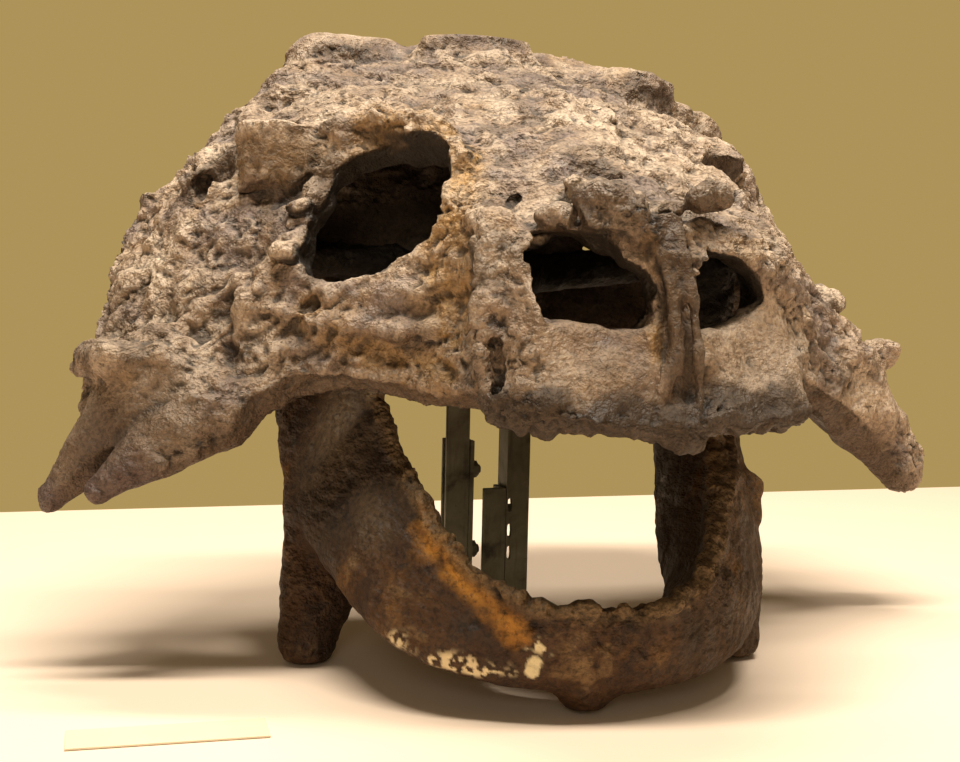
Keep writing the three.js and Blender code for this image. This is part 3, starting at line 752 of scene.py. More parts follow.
weathering = {
    # strength and size in millimetres
    "grains": {
        "swell": (2.6, 19),
        "rock": (1.8, 12),
        "plates": (3.2, 16),
        "finePlates": (0.3, 7),  # of the plates' strength
        "creases": (0.6, 9),
        "fineCreases": (0.8, 4.6),  # of the creases' strength
        "pits": (2.2, 9),
        "smallPits": (0.6, 4.4),
        "ridges": (1.3, 7),
        "margin": (2.6, 10),
        "bend": (5, 15),  # how far, and over what length, the patterns are bent
    },
    "patches": 30,
    "bar": [(-12, -166, 246), (-5, -176, 212), (-4, -179, 180), (-2, -178, 164)],
    "rugose": [(-36, -158, 252), (-24, -162, 248), (-190, 60, 268), (-186, 52, 262)],
    "smoothPlaces": [
        # centre, inner and outer radius, what is left of the roughness
        ((-44, -172, 186), 20, 36, 0.25),
        ((-30, -176, 166), 10, 24, 0.5),
        ((44, -172, 184), 24, 42, 0.3),
        ((-152, 18, 284), 16, 28, 0.12),
        ((-232, -10, 142), 18, 44, 0.35),
        ((-262, 4, 112), 20, 40, 0.3),
        ((-120, -66, 204), 14, 34, 0.6),
        ((240, -4, 130), 20, 50, 0.6),
    ],
}

cheekRidges = {
    "run": (-0.68, 0.26, -0.68),  # from the right orbit out to the horns
    "places": [(-172, -22, 204), (-205, 0, 182), (-150, -40, 200)],
    "stretch": 0.24,  # of their own length, what the ridges' pattern is squeezed to along the run
}


# Broken plates: each cell of scattered seeds stands at a height of its own, from -0.5 to 0.5, in a sunken
# seam.
def plates(points, size, seed):
    first, second, number = scattered(points, size, seed)
    seam = ramp(second - first, 0.02, 0.2)
    return (number - 0.5) * seam - 0.3 * (1 - seam)


# Creases: 1 along the lines where smooth noise is 0, and lower away from them.
def creases(points, size, seed, steep):
    return 1 - steep * np.abs(noise(points, size, seed))


# How far each point of the cranium's skin stands out, in millimetres, and how rough it is there.
def craniumRelief(points, normals):
    strength, size = ({key: pair[i] for key, pair in weathering["grains"].items()} for i in (0, 1))
    warp = np.stack([layered(points, size["bend"], 11 + 5 * k, 3) for k in range(3)], -1)
    bent = points + strength["bend"] * warp
    flatter = bent * (1, 1, 1.3)
    bothSides = np.column_stack([-np.abs(bent[:, 0]), bent[:, 1:]])  # both cheeks laid on the right one
    straight = np.column_stack([-np.abs(points[:, 0]), points[:, 1:]])
    # masks: how rough, how ridged and how patchy the bone is
    outward = unit(points - np.array(cranium["heart"]))
    rough = 0.3 + 0.7 * ramp((normals * outward).sum(1), -0.3, 0.2)
    for centre, inner, outer, left in weathering["smoothPlaces"]:
        rough = rough * (1 - (1 - left) * nearTo(points, [centre], inner, outer))
    bar = distanceToLine(points, weathering["bar"])
    rough = rough * (0.3 + 0.7 * ramp(bar, 9, 14)) * (1 - 0.6 * ramp(points[:, 2], 352, 364))
    rough = np.maximum(rough, 1.5 * nearTo(points, weathering["rugose"], 10, 20))
    ridged = nearTo(bothSides, cheekRidges["places"], 26, 62)
    patchy = ramp(layered(points * (1, 1, 1.5), weathering["patches"], 25, 3), -0.1, 0.4) * (1 - 0.8 * ridged)
    # the forms, from large to small
    broken = plates(flatter, size["plates"], 61) + strength["finePlates"] * plates(
        flatter, size["finePlates"], 68
    )
    creased = creases(flatter, size["creases"], 36, 2.4)
    creased = creased + strength["fineCreases"] * creases(flatter, size["fineCreases"], 37, 2.4)
    pit = ramp(layered(flatter, size["pits"], 41, 3, 0.6), 0.45, 0.95)
    smallPit = ramp(noise(flatter, size["smallPits"], 51), 0.25, 0.7)
    run = np.array(cheekRidges["run"])
    gently = 0.75 * straight + 0.25 * bothSides
    squeezed = gently - (1 - cheekRidges["stretch"]) * (gently @ run)[:, None] * run
    comb = creases(squeezed, size["ridges"], 81, 2.6) + 0.5 * noise(squeezed, 3.6, 82)
    margin = ramp(-points[:, 1], 120, 150) * (1 - ramp(points[:, 2], 150, 168))
    relief = strength["swell"] * (0.3 + 0.7 * rough) * layered(points, size["swell"], 21, 2)
    relief = relief + rough * strength["rock"] * layered(bent, size["rock"], 31, 3, 0.5)
    relief = relief + rough * strength["plates"] * broken * (0.5 + 0.5 * patchy)
    relief = relief + rough * strength["creases"] * creased * (0.2 + 0.8 * patchy)
    relief = relief - rough * (strength["pits"] * pit + strength["smallPits"] * smallPit) * patchy
    relief = relief + rough * strength["ridges"] * comb * ridged
    relief = relief + strength["margin"] * margin * layered(bent, size["margin"], 91, 2)
    return relief, rough


# Meshes


# Blender mesh of a skin, in the frame's metres.
def meshOf(name, points, triangles, quads):
    mesh = bpy.data.meshes.new(name)
    corners = np.concatenate([triangles.reshape(-1), quads.reshape(-1)]).astype(np.int32)
    sizes = np.concatenate([np.full(len(triangles), 3), np.full(len(quads), 4)])
    mesh.vertices.add(len(points))
    mesh.vertices.foreach_set("co", ((points - frameOrigin) / 1000).astype(np.float32).ravel())
    mesh.loops.add(len(corners))
    mesh.loops.foreach_set("vertex_index", corners)
    mesh.polygons.add(len(sizes))
    mesh.polygons.foreach_set("loop_start", (np.cumsum(sizes) - sizes).astype(np.int32))
    mesh.update(calc_edges=True)
    mesh.shade_smooth()
    return mesh


def normalsOf(mesh):
    found = np.empty(len(mesh.vertices) * 3, np.float32)
    mesh.vertices.foreach_get("normal", found)
    return found.reshape(-1, 3)


# The two point numbers of each edge.
def edgesOf(mesh):
    pairs = np.empty(len(mesh.edges) * 2, np.int32)
    mesh.edges.foreach_get("vertices", pairs)
    return pairs.reshape(-1, 2).T


# Distance that each skin point stands clear of its neighbours' average, in millimetres: under 0 in a pit.
def standing(mesh, points, rounds):
    a, b = edgesOf(mesh)
    count = len(points)
    degree = np.bincount(np.concatenate([a, b]), minlength=count)[:, None]
    smooth = points.copy()
    for _ in range(rounds):
        total = [np.bincount(a, smooth[b, k], count) + np.bincount(b, smooth[a, k], count) for k in range(3)]
        smooth = 0.5 * smooth + 0.5 * np.stack(total, -1) / degree
    return ((points - smooth) * normalsOf(mesh)).sum(1)


keepIn = 3  # millimetres inside the frame's box where the skin starts to be held back
smallestPiece = 500  # points, under which a loose island of a mesh is a chip


# The lowest point number of each point's island, found by passing the lower number along every edge.
def islandsOf(mesh):
    a, b = edgesOf(mesh)
    label = np.arange(len(mesh.vertices))
    while True:
        lower = label.copy()
        np.minimum.at(lower, a, label[b])
        np.minimum.at(lower, b, label[a])
        lower = lower[lower]
        if (lower == label).all():
            return label
        label = lower


# A skin's mesh, weathered by `reliefOf`, held inside the frame's box, with its pits and raised places marked
# for the material's painted shade and painted highlights.
def weatheredMesh(name, field, space, reliefOf, marks):
    points, triangles, quads = skinOf(field, space)
    bare = meshOf(name + "Bare", points, triangles, quads)
    normals = normalsOf(bare)
    relief, rough = reliefOf(points, normals)
    moved = points + normals * relief[:, None]
    high, low = (np.maximum(over, 0) for over in (moved - (cadHigh - keepIn), cadLow + keepIn - moved))
    moved = moved - high + keepIn * 0.9 * (1 - np.exp(-high / keepIn))
    moved = moved + low - keepIn * 0.9 * (1 - np.exp(-low / keepIn))
    bpy.data.meshes.remove(bare)
    mesh = meshOf(name, moved, triangles, quads)
    attributes = {"relief": standing(mesh, moved, 10), "rough": rough, **marks(moved, normals)}
    for key, values in attributes.items():
        layer = mesh.attributes.new(key, "FLOAT", "POINT")
        layer.data.foreach_set("value", values.astype(np.float32))
    return mesh


# A closed piece of a mesh: what is left when each plane's far side is cut away and the cut is filled.
def parted(name, whole, planes):
    piece = whole.copy()
    for point, away in planes:
        onPlane = (np.array(point, float) - frameOrigin) / 1000
        everything = piece.verts[:] + piece.edges[:] + piece.faces[:]
        result = bmesh.ops.bisect_plane(
            piece, geom=everything, dist=1e-7, plane_co=onPlane, plane_no=away, clear_outer=True
        )
        rim = [item for item in result["geom_cut"] if isinstance(item, bmesh.types.BMEdge)]
        for edge in rim:
            edge.smooth = False
        caps = bmesh.ops.triangle_fill(piece, use_beauty=True, edges=rim, normal=away)["geom"]
        for face in caps:
            if isinstance(face, bmesh.types.BMFace):
                face.smooth = False
                if face.normal.dot(Vector(away)) < 0:
                    face.normal_flip()
    mesh = bpy.data.meshes.new(name)
    piece.to_mesh(mesh)
    # chips go, and faces hanging from a shared edge, then gaps close
    label = islandsOf(mesh)
    chips = np.flatnonzero(np.bincount(label, minlength=len(label))[label] < smallestPiece)
    piece.verts.ensure_lookup_table()
    bmesh.ops.delete(piece, geom=[piece.verts[i] for i in chips.tolist()], context="VERTS")
    loose = {face for edge in piece.edges if edge.is_boundary for face in edge.link_faces}
    loose = [face for face in loose if any(len(edge.link_faces) > 2 for edge in face.edges)]
    bmesh.ops.delete(piece, geom=loose, context="FACES")
    gaps = [edge for edge in piece.edges if edge.is_boundary]
    if gaps:
        filled = bmesh.ops.holes_fill(piece, edges=gaps, sides=0)["faces"]
        bmesh.ops.triangulate(piece, faces=filled)
    piece.to_mesh(mesh)
    piece.free()
    return mesh


# The two sides of a cut: a point of it, and the way in which everything is cut away.
def sides(point, away):
    return (point, np.array(away, float)), (point, -np.array(away, float))


def pieceName(nodeName):
    words = nodeName.split("_")
    return words[0] + "".join(word.capitalize() for word in words[1:])


def place(nodeName, mesh, material):
    piece = bpy.data.objects.new(pieceName(nodeName), mesh)
    bpy.context.scene.collection.objects.link(piece)
    mesh.materials.clear()
    mesh.materials.append(material)
    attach(piece, "root")
    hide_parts(nodeName)


# The pieces that a skin is cut into: for each node the planes that bound it.
def makePieces(mesh, planes, material):
    say(f"{mesh.name}'s skin has {len(mesh.polygons)} faces")
    whole = bmesh.new()
    whole.from_mesh(mesh)
    bpy.data.meshes.remove(mesh)
    for nodeName, cuts in planes.items():
        part = parted(pieceName(nodeName), whole, cuts)
        place(nodeName, part, material)
        print(f"skull: {pieceName(nodeName)} has {len(part.polygons)} faces")
    whole.free()


# Materials


# Links an input to a socket, or sets it to a value.
def give(tree, taker, value):
    if isinstance(value, bpy.types.NodeSocket):
        tree.links.new(value, taker)
    else:
        taker.default_value = value


# A node of a material's tree, with its inputs given by name or number.
def node(tree, kind, inputs=None, **settings):
    made = tree.nodes.new(kind)
    for key, value in settings.items():
        setattr(made, key, value)
    for key, value in (inputs or {}).items():
        give(tree, made.inputs[key], value)
    return made


# A colour ramp; each stop is a place and a colour, or one number for a grey.
def coloured(tree, factor, stops):
    made = node(tree, "ShaderNodeValToRGB", {0: factor})
    elements = made.color_ramp.elements
    while len(elements) > 1:
        elements.remove(elements[-1])
    for i, (at, colour) in enumerate(stops):
        element = elements[0] if i == 0 else elements.new(at)
        element.position = at
        element.color = (*(colour if isinstance(colour, tuple) else (colour,) * 3), 1)
    return made.outputs["Color"]


# Two colours mixed by a factor; each can be a value or a socket.
def mixed(tree, factor, a, b, mode="MIX"):
    made = node(tree, "ShaderNodeMix", data_type="RGBA", blend_type=mode)
    for i, value in ((0, factor), (6, a), (7, b)):
        give(tree, made.inputs[i], (*value, 1) if isinstance(value, tuple) else value)
    return made.outputs[2]


def sums(tree, operation, a, b=0.0, c=0.0):
    made = node(tree, "ShaderNodeMath", {0: a, 1: b, 2: c}, operation=operation)
    return made.outputs[0]


def noiseNode(tree, where, scale, detail=4.0, roughness=0.55, distortion=0.0):
    values = {
        "Vector": where, "Scale": scale, "Detail": detail, "Roughness": roughness, "Distortion": distortion,
    }
    return node(tree, "ShaderNodeTexNoise", values).outputs["Fac"]


def startMaterial(name):
    made = bpy.data.materials.new(name)
    made.use_nodes = True
    tree = made.node_tree
    where = node(tree, "ShaderNodeTexCoord").outputs["Object"]
    return made, tree, where, tree.nodes["Principled BSDF"]


def attribute(tree, name, share=None):
    found = node(tree, "ShaderNodeAttribute", attribute_name=name).outputs["Fac"]
    return found if share is None else sums(tree, "MULTIPLY", found, share)


# Gives the shader its colour, roughness and bump; `reach` is the bump's distance in metres.
def finished(tree, shader, colour, gloss, height, strength=1.0, reach=0.001):
    bump = node(tree, "ShaderNodeBump", {"Strength": strength, "Distance": reach, "Height": height})
    for key, value in (("Base Color", colour), ("Roughness", gloss), ("Normal", bump.outputs["Normal"])):
        give(tree, shader.inputs[key], value)


craniumLook = {
    "pale": (0.530, 0.400, 0.285),
    "taupe": (0.345, 0.236, 0.152),
    "mauve": (0.215, 0.153, 0.120),
    "ochre": (0.400, 0.225, 0.075),
    "umber": (0.075, 0.042, 0.020),
    # pit: the colour of painted shade in pits and crevices
    "pit": (0.022, 0.013, 0.007),
    "tip": (0.085, 0.050, 0.040),
    # inside: the colour of painted shade in openings and under the vault
    "inside": (0.026, 0.016, 0.008),
}


def makeCraniumMaterial(look):
    made, tree, where, shader = startMaterial("craniumBone")
    flatter = node(tree, "ShaderNodeMapping", {"Vector": where, "Scale": (1.0, 1.0, 1.3)}).outputs[0]
    broad = noiseNode(tree, where, 22, 4, 0.55, 0.4)
    colour = coloured(tree, broad, [(0.40, look["mauve"]), (0.5, look["taupe"]), (0.60, look["pale"])])
    stains = coloured(tree, noiseNode(tree, where, 19, 6, 0.62, 0.6), [(0.55, 0), (0.72, 0.5)])
    colour = mixed(tree, stains, colour, look["ochre"])
    warm = attribute(tree, "ochre", noiseNode(tree, where, 45, 6, 0.65))
    colour = mixed(tree, sums(tree, "MULTIPLY", warm, 1.6), colour, look["ochre"])
    patches = coloured(tree, noiseNode(tree, flatter, 45, 5, 0.6), [(0.49, 0), (0.64, 0.5)])
    colour = mixed(tree, patches, colour, look["pale"])
    relief = sums(tree, "MULTIPLY_ADD", attribute(tree, "relief"), 0.26, 0.5)
    # painted highlight: paler where the skin stands out above its neighbours
    paintedRidgeHighlight = coloured(tree, relief, [(0.54, 0), (0.80, 0.6)])
    colour = mixed(tree, paintedRidgeHighlight, colour, look["pale"])
    dusk = coloured(tree, noiseNode(tree, where, 34, 4, 0.55, 0.1), [(0.34, 0.7), (0.47, 0)])
    colour = mixed(tree, dusk, colour, look["umber"])
    # dark places: dark bone, and painted shade in grooves, cups and hollows, under the margin and on inward
    # faces
    colour = mixed(tree, attribute(tree, "dark"), colour, look["umber"])
    # painted shade: darker where the skin sinks below its neighbours, in pits
    paintedPitShade = coloured(tree, relief, [(0.10, 0.95), (0.32, 0.7), (0.48, 0)])
    colour = mixed(tree, paintedPitShade, colour, look["pit"])
    # crevices: ragged dark flecks in patches, painted shade as if in crevices (the bump sinks them too), with
    # small dark specks
    patch = coloured(tree, noiseNode(tree, flatter, 30, 4, 0.6), [(0.50, 0), (0.58, 1)])
    ragged = noiseNode(tree, flatter, 80, 4, 0.6, 0.2)
    crevice = coloured(tree, ragged, [(0.33, 0.85), (0.42, 0)])
    crevice = mixed(tree, 1.0, crevice, patch, "MULTIPLY")
    specks = coloured(tree, noiseNode(tree, flatter, 260, 3, 0.6), [(0.28, 0.6), (0.36, 0)])
    crevice = mixed(tree, 1.0, crevice, specks, "LIGHTEN")
    crevice = mixed(tree, 1.0, crevice, attribute(tree, "rough"), "MULTIPLY")
    colour = mixed(tree, crevice, colour, look["pit"])
    colour = mixed(tree, attribute(tree, "tip"), colour, look["tip"])
    # painted shade on the right orbit's walls, inside the nostrils, under the vault and under the upper jaw's
    # margin
    colour = mixed(tree, attribute(tree, "inside"), colour, look["inside"])
    gritty = noiseNode(tree, where, 430, 2, 0.55, 0.3)
    grit = coloured(tree, gritty, [(0.34, 0.66), (0.5, 0.97), (0.64, 1.16)])
    colour = mixed(tree, 1.0, colour, grit, "MULTIPLY")
    gloss = coloured(tree, noiseNode(tree, where, 60, 4), [(0.3, 0.5), (0.7, 0.85)])
    shader.inputs["Specular IOR Level"].default_value = 0.5
    # heights in millimetres: rocky grain, sandy grain, crevices
    height = sums(tree, "MULTIPLY", noiseNode(tree, where, 80, 3, 0.5, 0.1), 12.0)
    height = sums(tree, "MULTIPLY_ADD", crevice, -1.5, height)
    height = sums(tree, "MULTIPLY", height, sums(tree, "MULTIPLY_ADD", attribute(tree, "rough"), 0.75, 0.25))
    height = sums(tree, "MULTIPLY_ADD", gritty, 1.4, height)
    height = sums(tree, "MULTIPLY_ADD", noiseNode(tree, where, 900, 1, 0.5), 0.7, height)
    finished(tree, shader, colour, gloss, height)
    return made


craniumStains = {
    "ochre": [
        ("line", [(-104, -16, 291), (-78, -57, 280), (-88, -90, 240), (-92, -105, 200)], 7, 8, 26, 1),
        ("line", [(-18, -162, 246), (-13, -172, 226), (-11, -174, 208), (-12, -172, 184)], 2, 4, 9, 1),
        ("line", [(-150, -30, 196), (-120, -66, 178), (-96, -100, 168)], 4, 6, 20, 1),
    ],
    "tip": [
        ("spots", [(-282, 16, 92), (-258, -16, 100), (-236, -24, 108)], 3, 10, 26, 0.85),
        ("spots", [(276, 2, 90)], 3, 6, 22, 0.51),
    ],
    # nasal bosses, groove of the bar, web and ledge of the right cheek, the orbit's rear rim, cups, hollow;
    # in the groove of the bar, the groove of the orbit's rear rim, the cups and the hollow the dark is
    # painted shade
    "dark": [
        ("spots", [(-34, -160, 252), (-18, -162, 250), (24, -158, 258)], 4, 14, 26, 0.62),
        ("line", [(-8, -168, 246), (-4, -176, 212), (-3, -180, 188), (-2, -181, 166)], 3, 7, 14, 0.85),
        ("spots", [(-240, -4, 128), (-262, 4, 108), (-214, -22, 130)], 0, 16, 46, 0.4),
        ("line", [(-252, 43, 170), (-244, -4, 172), (-215, -14, 166)], 0, 5, 15, 0.5),
        ("line", [(-128, -6, 280), (-139, -22, 250), (-147, -38, 220)], 4, 4, 12, 0.7),
        ("spots", [(-22, -111, 269), (-11, -102, 275), (13, -166, 252)], 3, 8, 16, 0.7),
        ("spots", [(-172, 48, 284), (-176, 53, 275), (-183, 57, 265)], 3, 8, 17, 0.85),
    ],
    "boss": [("spots", [(-166, 14, 281), (-154, 7, 280), (-142, 8, 281)], 0, 9, 17, 1)],
    "socket": [("spots", [cranium["orbitAt"]], 0, 52, 62, 1)],
    "nostrils": [("spots", [(-42, -150, 222), (30, -150, 214)], 0, 36, 46, 1)],
}


# Marks for the material at each point: ochre, dark horn tips, dark places that are partly dark bone and
# partly painted shade, and painted shade on inner walls, in openings and under the vault.
def craniumMarks(points, normals):
    ragged = layered(points, 14, 411, 3)
    x, y, z = points.T
    stain = stained(points, ragged, craniumStains)
    boss = stain["boss"] * (1 - ramp(normals[:, 2], 0.45, 0.75))
    # painted shade under the upper jaw's lower margin, which faces down
    margin = 0.92 * (1 - ramp(z + 6 * ragged, 156, 172)) * ramp(-y, 120, 150)
    outward = unit(points - np.array(cranium["heart"]))
    # painted shade on faces that turn inwards
    inner = 0.85 * (1 - ramp((normals * outward).sum(1), -0.15, 0.5))
    # darker towards the bottom, and towards the roof's top and the snout
    low = 0.36 * (1 - ramp(z, 155, 235)) * (1 - ramp(x, 180, 230))
    high = 0.22 * ramp(z, 300, 335) + 0.12 * ramp(-y, 60, 120)
    dark = np.maximum.reduce([stain["dark"], margin, inner, 0.6 * boss])
    # painted shade where the space under the vault is near
    space = underFace["space"]
    cell = np.clip(np.rint((points - space["low"]) / space["step"]).astype(int), 0, space["count"] - 1)
    deep = 1 - ramp(underFace["field"][tuple(cell.T)], -9, -2)
    inside = deep * (1 - ramp(y, 84, 100)) * ramp(z + 30 * normals[:, 2], 160, 176)
    # painted shade on the right orbit's walls and on the walls inside the nostrils
    facing = normals @ unit(np.array([cheekOut]))[0]
    socket = stain["socket"] * (1 - ramp(facing, 0.2, 0.6))
    nostrils = stain["nostrils"] * ramp(z, 202, 212) * (1 - ramp(-normals[:, 1], 0.15, 0.5))
    nostrils = nostrils * (1 - ramp(z, 238, 248))
    return {
        "ochre": np.maximum(stain["ochre"], 0.8 * boss),
        "tip": stain["tip"],
        "dark": np.minimum(dark + low + high, 0.9),
        "inside": np.maximum.reduce([inside, socket, nostrils, 0.65 * margin]),
    }


craniumBone = makeCraniumMaterial(craniumLook)


def makeCranium():
    space = lattice(*cranium["box"], cranium["step"])
    field = craniumField(space)
    say("cranium's field is worked out")
    mesh = weatheredMesh("cranium", field, space, craniumRelief, craniumMarks)
    at, out = cranium["cheekCut"]["at"], cranium["cheekCut"]["out"]
    middleRight, cheekRight = sides(at, out)
    middleLeft, cheekLeft = sides(mirrored(at), mirrored(out))
    front, behind = sides((0, cranium["snoutCut"], 0), (0, 1, 0))
    under, over = sides((0, 0, cranium["roofCut"]), (0, 0, 1))
    beforePalate, afterPalate = sides((0, cranium["palateCut"], 0), (0, 1, 0))
    within = [behind, middleRight, middleLeft]
    planes = {
        "cranium_snout": [front],
        "cranium_cheek_right": [behind, cheekRight],
        "cranium_cheek_left": [behind, cheekLeft],
        "cranium_roof": [*within, over],
        "cranium_palate": [*within, under, beforePalate],
        "cranium_braincase": [*within, under, afterPalate],
    }
    makePieces(mesh, planes, craniumBone)


makeCranium()
say("cranium is made")

# The lower jaw

jaw = {
    "step": 1.35 if fine else 2.7,
    "box": ((-176, -178, -6), (176, 134, 212)),
    "chin": (-28, -128, 14),
    "turn": 10,  # degrees
    "pitch": 26,
    "roll": 3,
    "crestThick": 0.16,
    "chinHalf": 58,
    # crest, keel, thickness: from the chin to the rear end, in the jaw's own frame
    "stations": [
        ((0, -6, 54), (0, 4, 0), 42),
        ((36, 0, 54), (46, 12, 0), 48),
        ((66, 30, 58), (84, 44, 0), 60),
        ((86, 84, 68), (102, 96, -4), 70),
        ((98, 140, 80), (116, 150, -6), 70),
        ((112, 200, 86), (123, 210, 4), 60),
        ((124, 256, 70), (129, 262, 16), 46),
    ],
    "toothStep": 0.026,  # of the half jaw's run
    "lastTooth": 0.66,
}


# From the jaw's own frame (out to the left, back, up) to the bones' frame.
def jawPoint(p):
    turn = Matrix.Rotation(math.radians(-jaw["turn"]), 3, "Z")
    pitch = Matrix.Rotation(math.radians(jaw["pitch"]), 3, "X")
    roll = Matrix.Rotation(math.radians(jaw["roll"]), 3, "Y")
    return np.asarray(p) @ np.array(turn @ pitch @ roll).T + jaw["chin"]


def jawCrest(s):
    p = curveThrough([row[0] for row in jaw["stations"]], np.abs(s))
    p[..., 0] = np.where(s < 0, -p[..., 0], p[..., 0])
    return p


# A point of the jaw's skin. s runs from -1 at the right rear end to 1 at the left; turn goes round a
# wedge: keel + (crest - keel) rise + aside, with rise = (1 + sin~) / 2, aside = thickness cos~ / 2.
def jawSkin(s, turn):
    at = np.abs(s)
    keels = [row[1] for row in jaw["stations"]]
    crest = curveThrough([row[0] for row in jaw["stations"]], at)
    keel = curveThrough(keels, at)
    run = curveThrough(keels, np.minimum(at + 0.01, 1)) - curveThrough(keels, np.maximum(at - 0.01, 0))
    run[..., 2] = 0
    run = np.where((at == 0)[..., None], (1.0, 0, 0), unit(run))

    def squared(v):
        return np.sign(v) * np.abs(v) ** 0.7

    rise = 0.5 + 0.5 * squared(np.sin(turn))
    thick = curveThrough([(0, row[2], 0) for row in jaw["stations"]], at)[..., 1]
    half = thick / 2 * (1 + (jaw["crestThick"] - 1) * rise**1.5)
    aside = np.stack([run[..., 1], -run[..., 0], 0 * at], -1) * (half * squared(np.cos(turn)))[..., None]
    p = keel + (crest - keel) * rise[..., None] + aside
    p[..., 0] = np.where(s < 0, -p[..., 0], p[..., 0])
    return jawPoint(p)


def jawGrids():
    s, turn = np.meshgrid(np.linspace(-1, 1, 161), np.linspace(0, 2 * np.pi, 49), indexing="ij")
    grids = [jawSkin(s, turn)]
    for end in (1, -1):
        ring = jawSkin(np.full(49, float(end)), end * np.linspace(2 * np.pi, 0, 49))
        middle = ring[:-1].mean(0)
        grids.append(np.stack([ring, ring * 0.5 + middle * 0.5, ring * 0 + middle], 1))
    return grids


crestLine = jawPoint(jawCrest(np.linspace(-0.95, 0.95, 39)))
teethAt = np.arange(-jaw["lastTooth"], jaw["lastTooth"] + 0.001, jaw["toothStep"])
jawGrowths = [
    (lump((-28, -131, 16), (16, 14, 16)), 9),
    (horn((-120, 14, 74), (-138, -3, 13), 29, 17, 0.8), 12),
    (horn((104, -40, 52), (101, -64, 13), 27, 16, 0.8), 12),
    (lump((104, -62, 40), (17, 12, 22)), 8),
]
# the left ramus's inner edge, and its squared rear corner
jawRidges = [
    (
        [(98, -56, 130), (83, -86, 109), (64, -105, 98), (50, -125, 82), (32, -142, 69), (14, -152, 62)],
        (3, 4, 4, 4, 3, 3),
    ),
    ([(108, -40, 112), (113, -58, 98), (112, -68, 82)], (4, 6, 4)),
]
jawHollows = [
    (lump((-91, -136, 51), (4.5, 5.5, 4)), 3),
    (lump((-66, -150, 52), (3, 3, 3)), 2),
    (lump((20, -162, 48), (3.5, 3, 3)), 2),
]


def jawField(space):
    field = distanceTo(jawGrids(), space)
    for shape, blend in jawGrowths:
        joinTo(field, space, shape, blend)
    crest = jawPoint(jawCrest(teethAt))
    ahead = unit(jawPoint(jawCrest(teethAt + 0.01)) - jawPoint(jawCrest(teethAt - 0.01)))
    for i, (spot, way) in enumerate(zip(crest, ahead)):
        wobble = hashed(np.array([i, 3, 5]), 17)
        if wobble > 0.62:
            joinTo(field, space, lump(spot + (0, 0, -1.5), (4.4, 3.4, 2 + 2.5 * wobble), (0, 0, 1)), 2)
        elif wobble < 0.3:
            joinTo(field, space, lump(spot + (0, 1, 2.0), (2.6, 2.6, 4 + 8 * wobble), way), 2, carve=True)
    joinRidges(field, space, jawRidges, 5)
    for shape, blend in jawHollows:
        joinTo(field, space, shape, blend, carve=True)
    # what lies under the floor goes
    joinTo(field, space, block((-400, -400, -40), (400, 400, 0.3)), 0.5, carve=True)
    return field


# strength and size in millimetres
jawWeathering = {
    "swell": (1.6, 52),
    "crumple": (0.6, 11),
    "crest": (0.72, 5.5),  # what the crest adds to it, and the size of its finer folds
    "grain": (0.4, 3.2),
    "pits": (1.0, 9),
    "fibres": (0.5, 3.6),
    "broken": (1.3, 7),
    "bend": (3, 17),
}


def jawRelief(points, normals):
    strength, size = ({key: pair[i] for key, pair in jawWeathering.items()} for i in (0, 1))
    nearCrest = 1 - ramp(distanceToLine(points, crestLine), 5, 13)
    bent = points + strength["bend"] * np.stack([noise(points, size["bend"], 211 + k) for k in range(3)], -1)
    horns = nearTo(points, [(-134, 2, 24), (101, -58, 24)], 24, 46)
    worn = ramp(layered(points, 26, 205, 2), 0.0, 0.5)
    rough = np.clip(0.3 + 0.6 * nearCrest + 0.5 * horns + 0.5 * worn, 0, 1)
    creased = creases(bent, size["crumple"], 231, 2) + 0.7 * noise(bent, size["crest"], 232)
    first, _, number = scattered(bent, size["pits"], 241)
    pit = (1 - ramp(first, 0.1, 0.45)) * ramp(number, 0.6, 0.9)
    relief = strength["swell"] * layered(points, size["swell"], 221, 2)
    relief = relief + creased * (strength["crumple"] + strength["crest"] * nearCrest) * rough
    relief = relief - strength["pits"] * pit * rough
    relief = relief + strength["broken"] * nearCrest * layered(bent, size["broken"], 271, 3, 0.6)
    relief = relief + strength["fibres"] * noise(points * (1, 0.25, 1), size["fibres"], 251)
    relief = relief + strength["grain"] * rough * noise(points, size["grain"], 261)
    return relief * ramp(points[:, 2], 0.5, 5), rough


jawStains = {
    "ochreBand": [
        ("line", [(-104, -96, 96), (-100, -112, 84), (-88, -130, 68), (-72, -147, 46)], 4, 2, 10, 1),
    ],
    "flaking": [("line", [(-117, -102, 37), (-102, -119, 31), (-85, -132, 27), (-72, -140, 26)], 3, 1, 7, 1)],
    "patch": [("line", [(-64, -146, 27), (-63, -147, 32)], 1.5, 4.2, 5.0, 1)],
    "fleck": [("line", [(-66, -149, 42), (-58, -151, 40)], 0, 2, 6, 1)],
    "darkUpper": [("spots", [(-118, -30, 138), (-128, -32, 112), (-112, -62, 118)], 0, 26, 60, 1)],
    "toothRow": [("line", crestLine, 2, 5, 10, 1)],
}


# Marks for the material at each point: the ochre band, flakes and plaster of the right side, dark places, and
# the left ramus's inner face, red-brown partly as its colour and partly as painted shade.
def jawMarks(points, normals):
    stain = stained(points, layered(points, 12, 311, 3), jawStains)
    stain["flaking"] = stain["flaking"] * ramp(noise(points, 2.2, 321), -0.05, 0.15)
    fleck = stain.pop("fleck") * ramp(noise(points, 3, 331), 0.2, 0.3)
    stain["plaster"] = np.maximum(stain.pop("patch"), fleck)
    # the left ramus's inner face: red-brown, partly its colour and partly painted shade
    stain["insideLeft"] = ramp(points[:, 0], 20, 50) * ramp(-normals[:, 0], -0.1, 0.4)
    stain["leftSide"] = ramp(points[:, 0], -20, 45)
    return stain


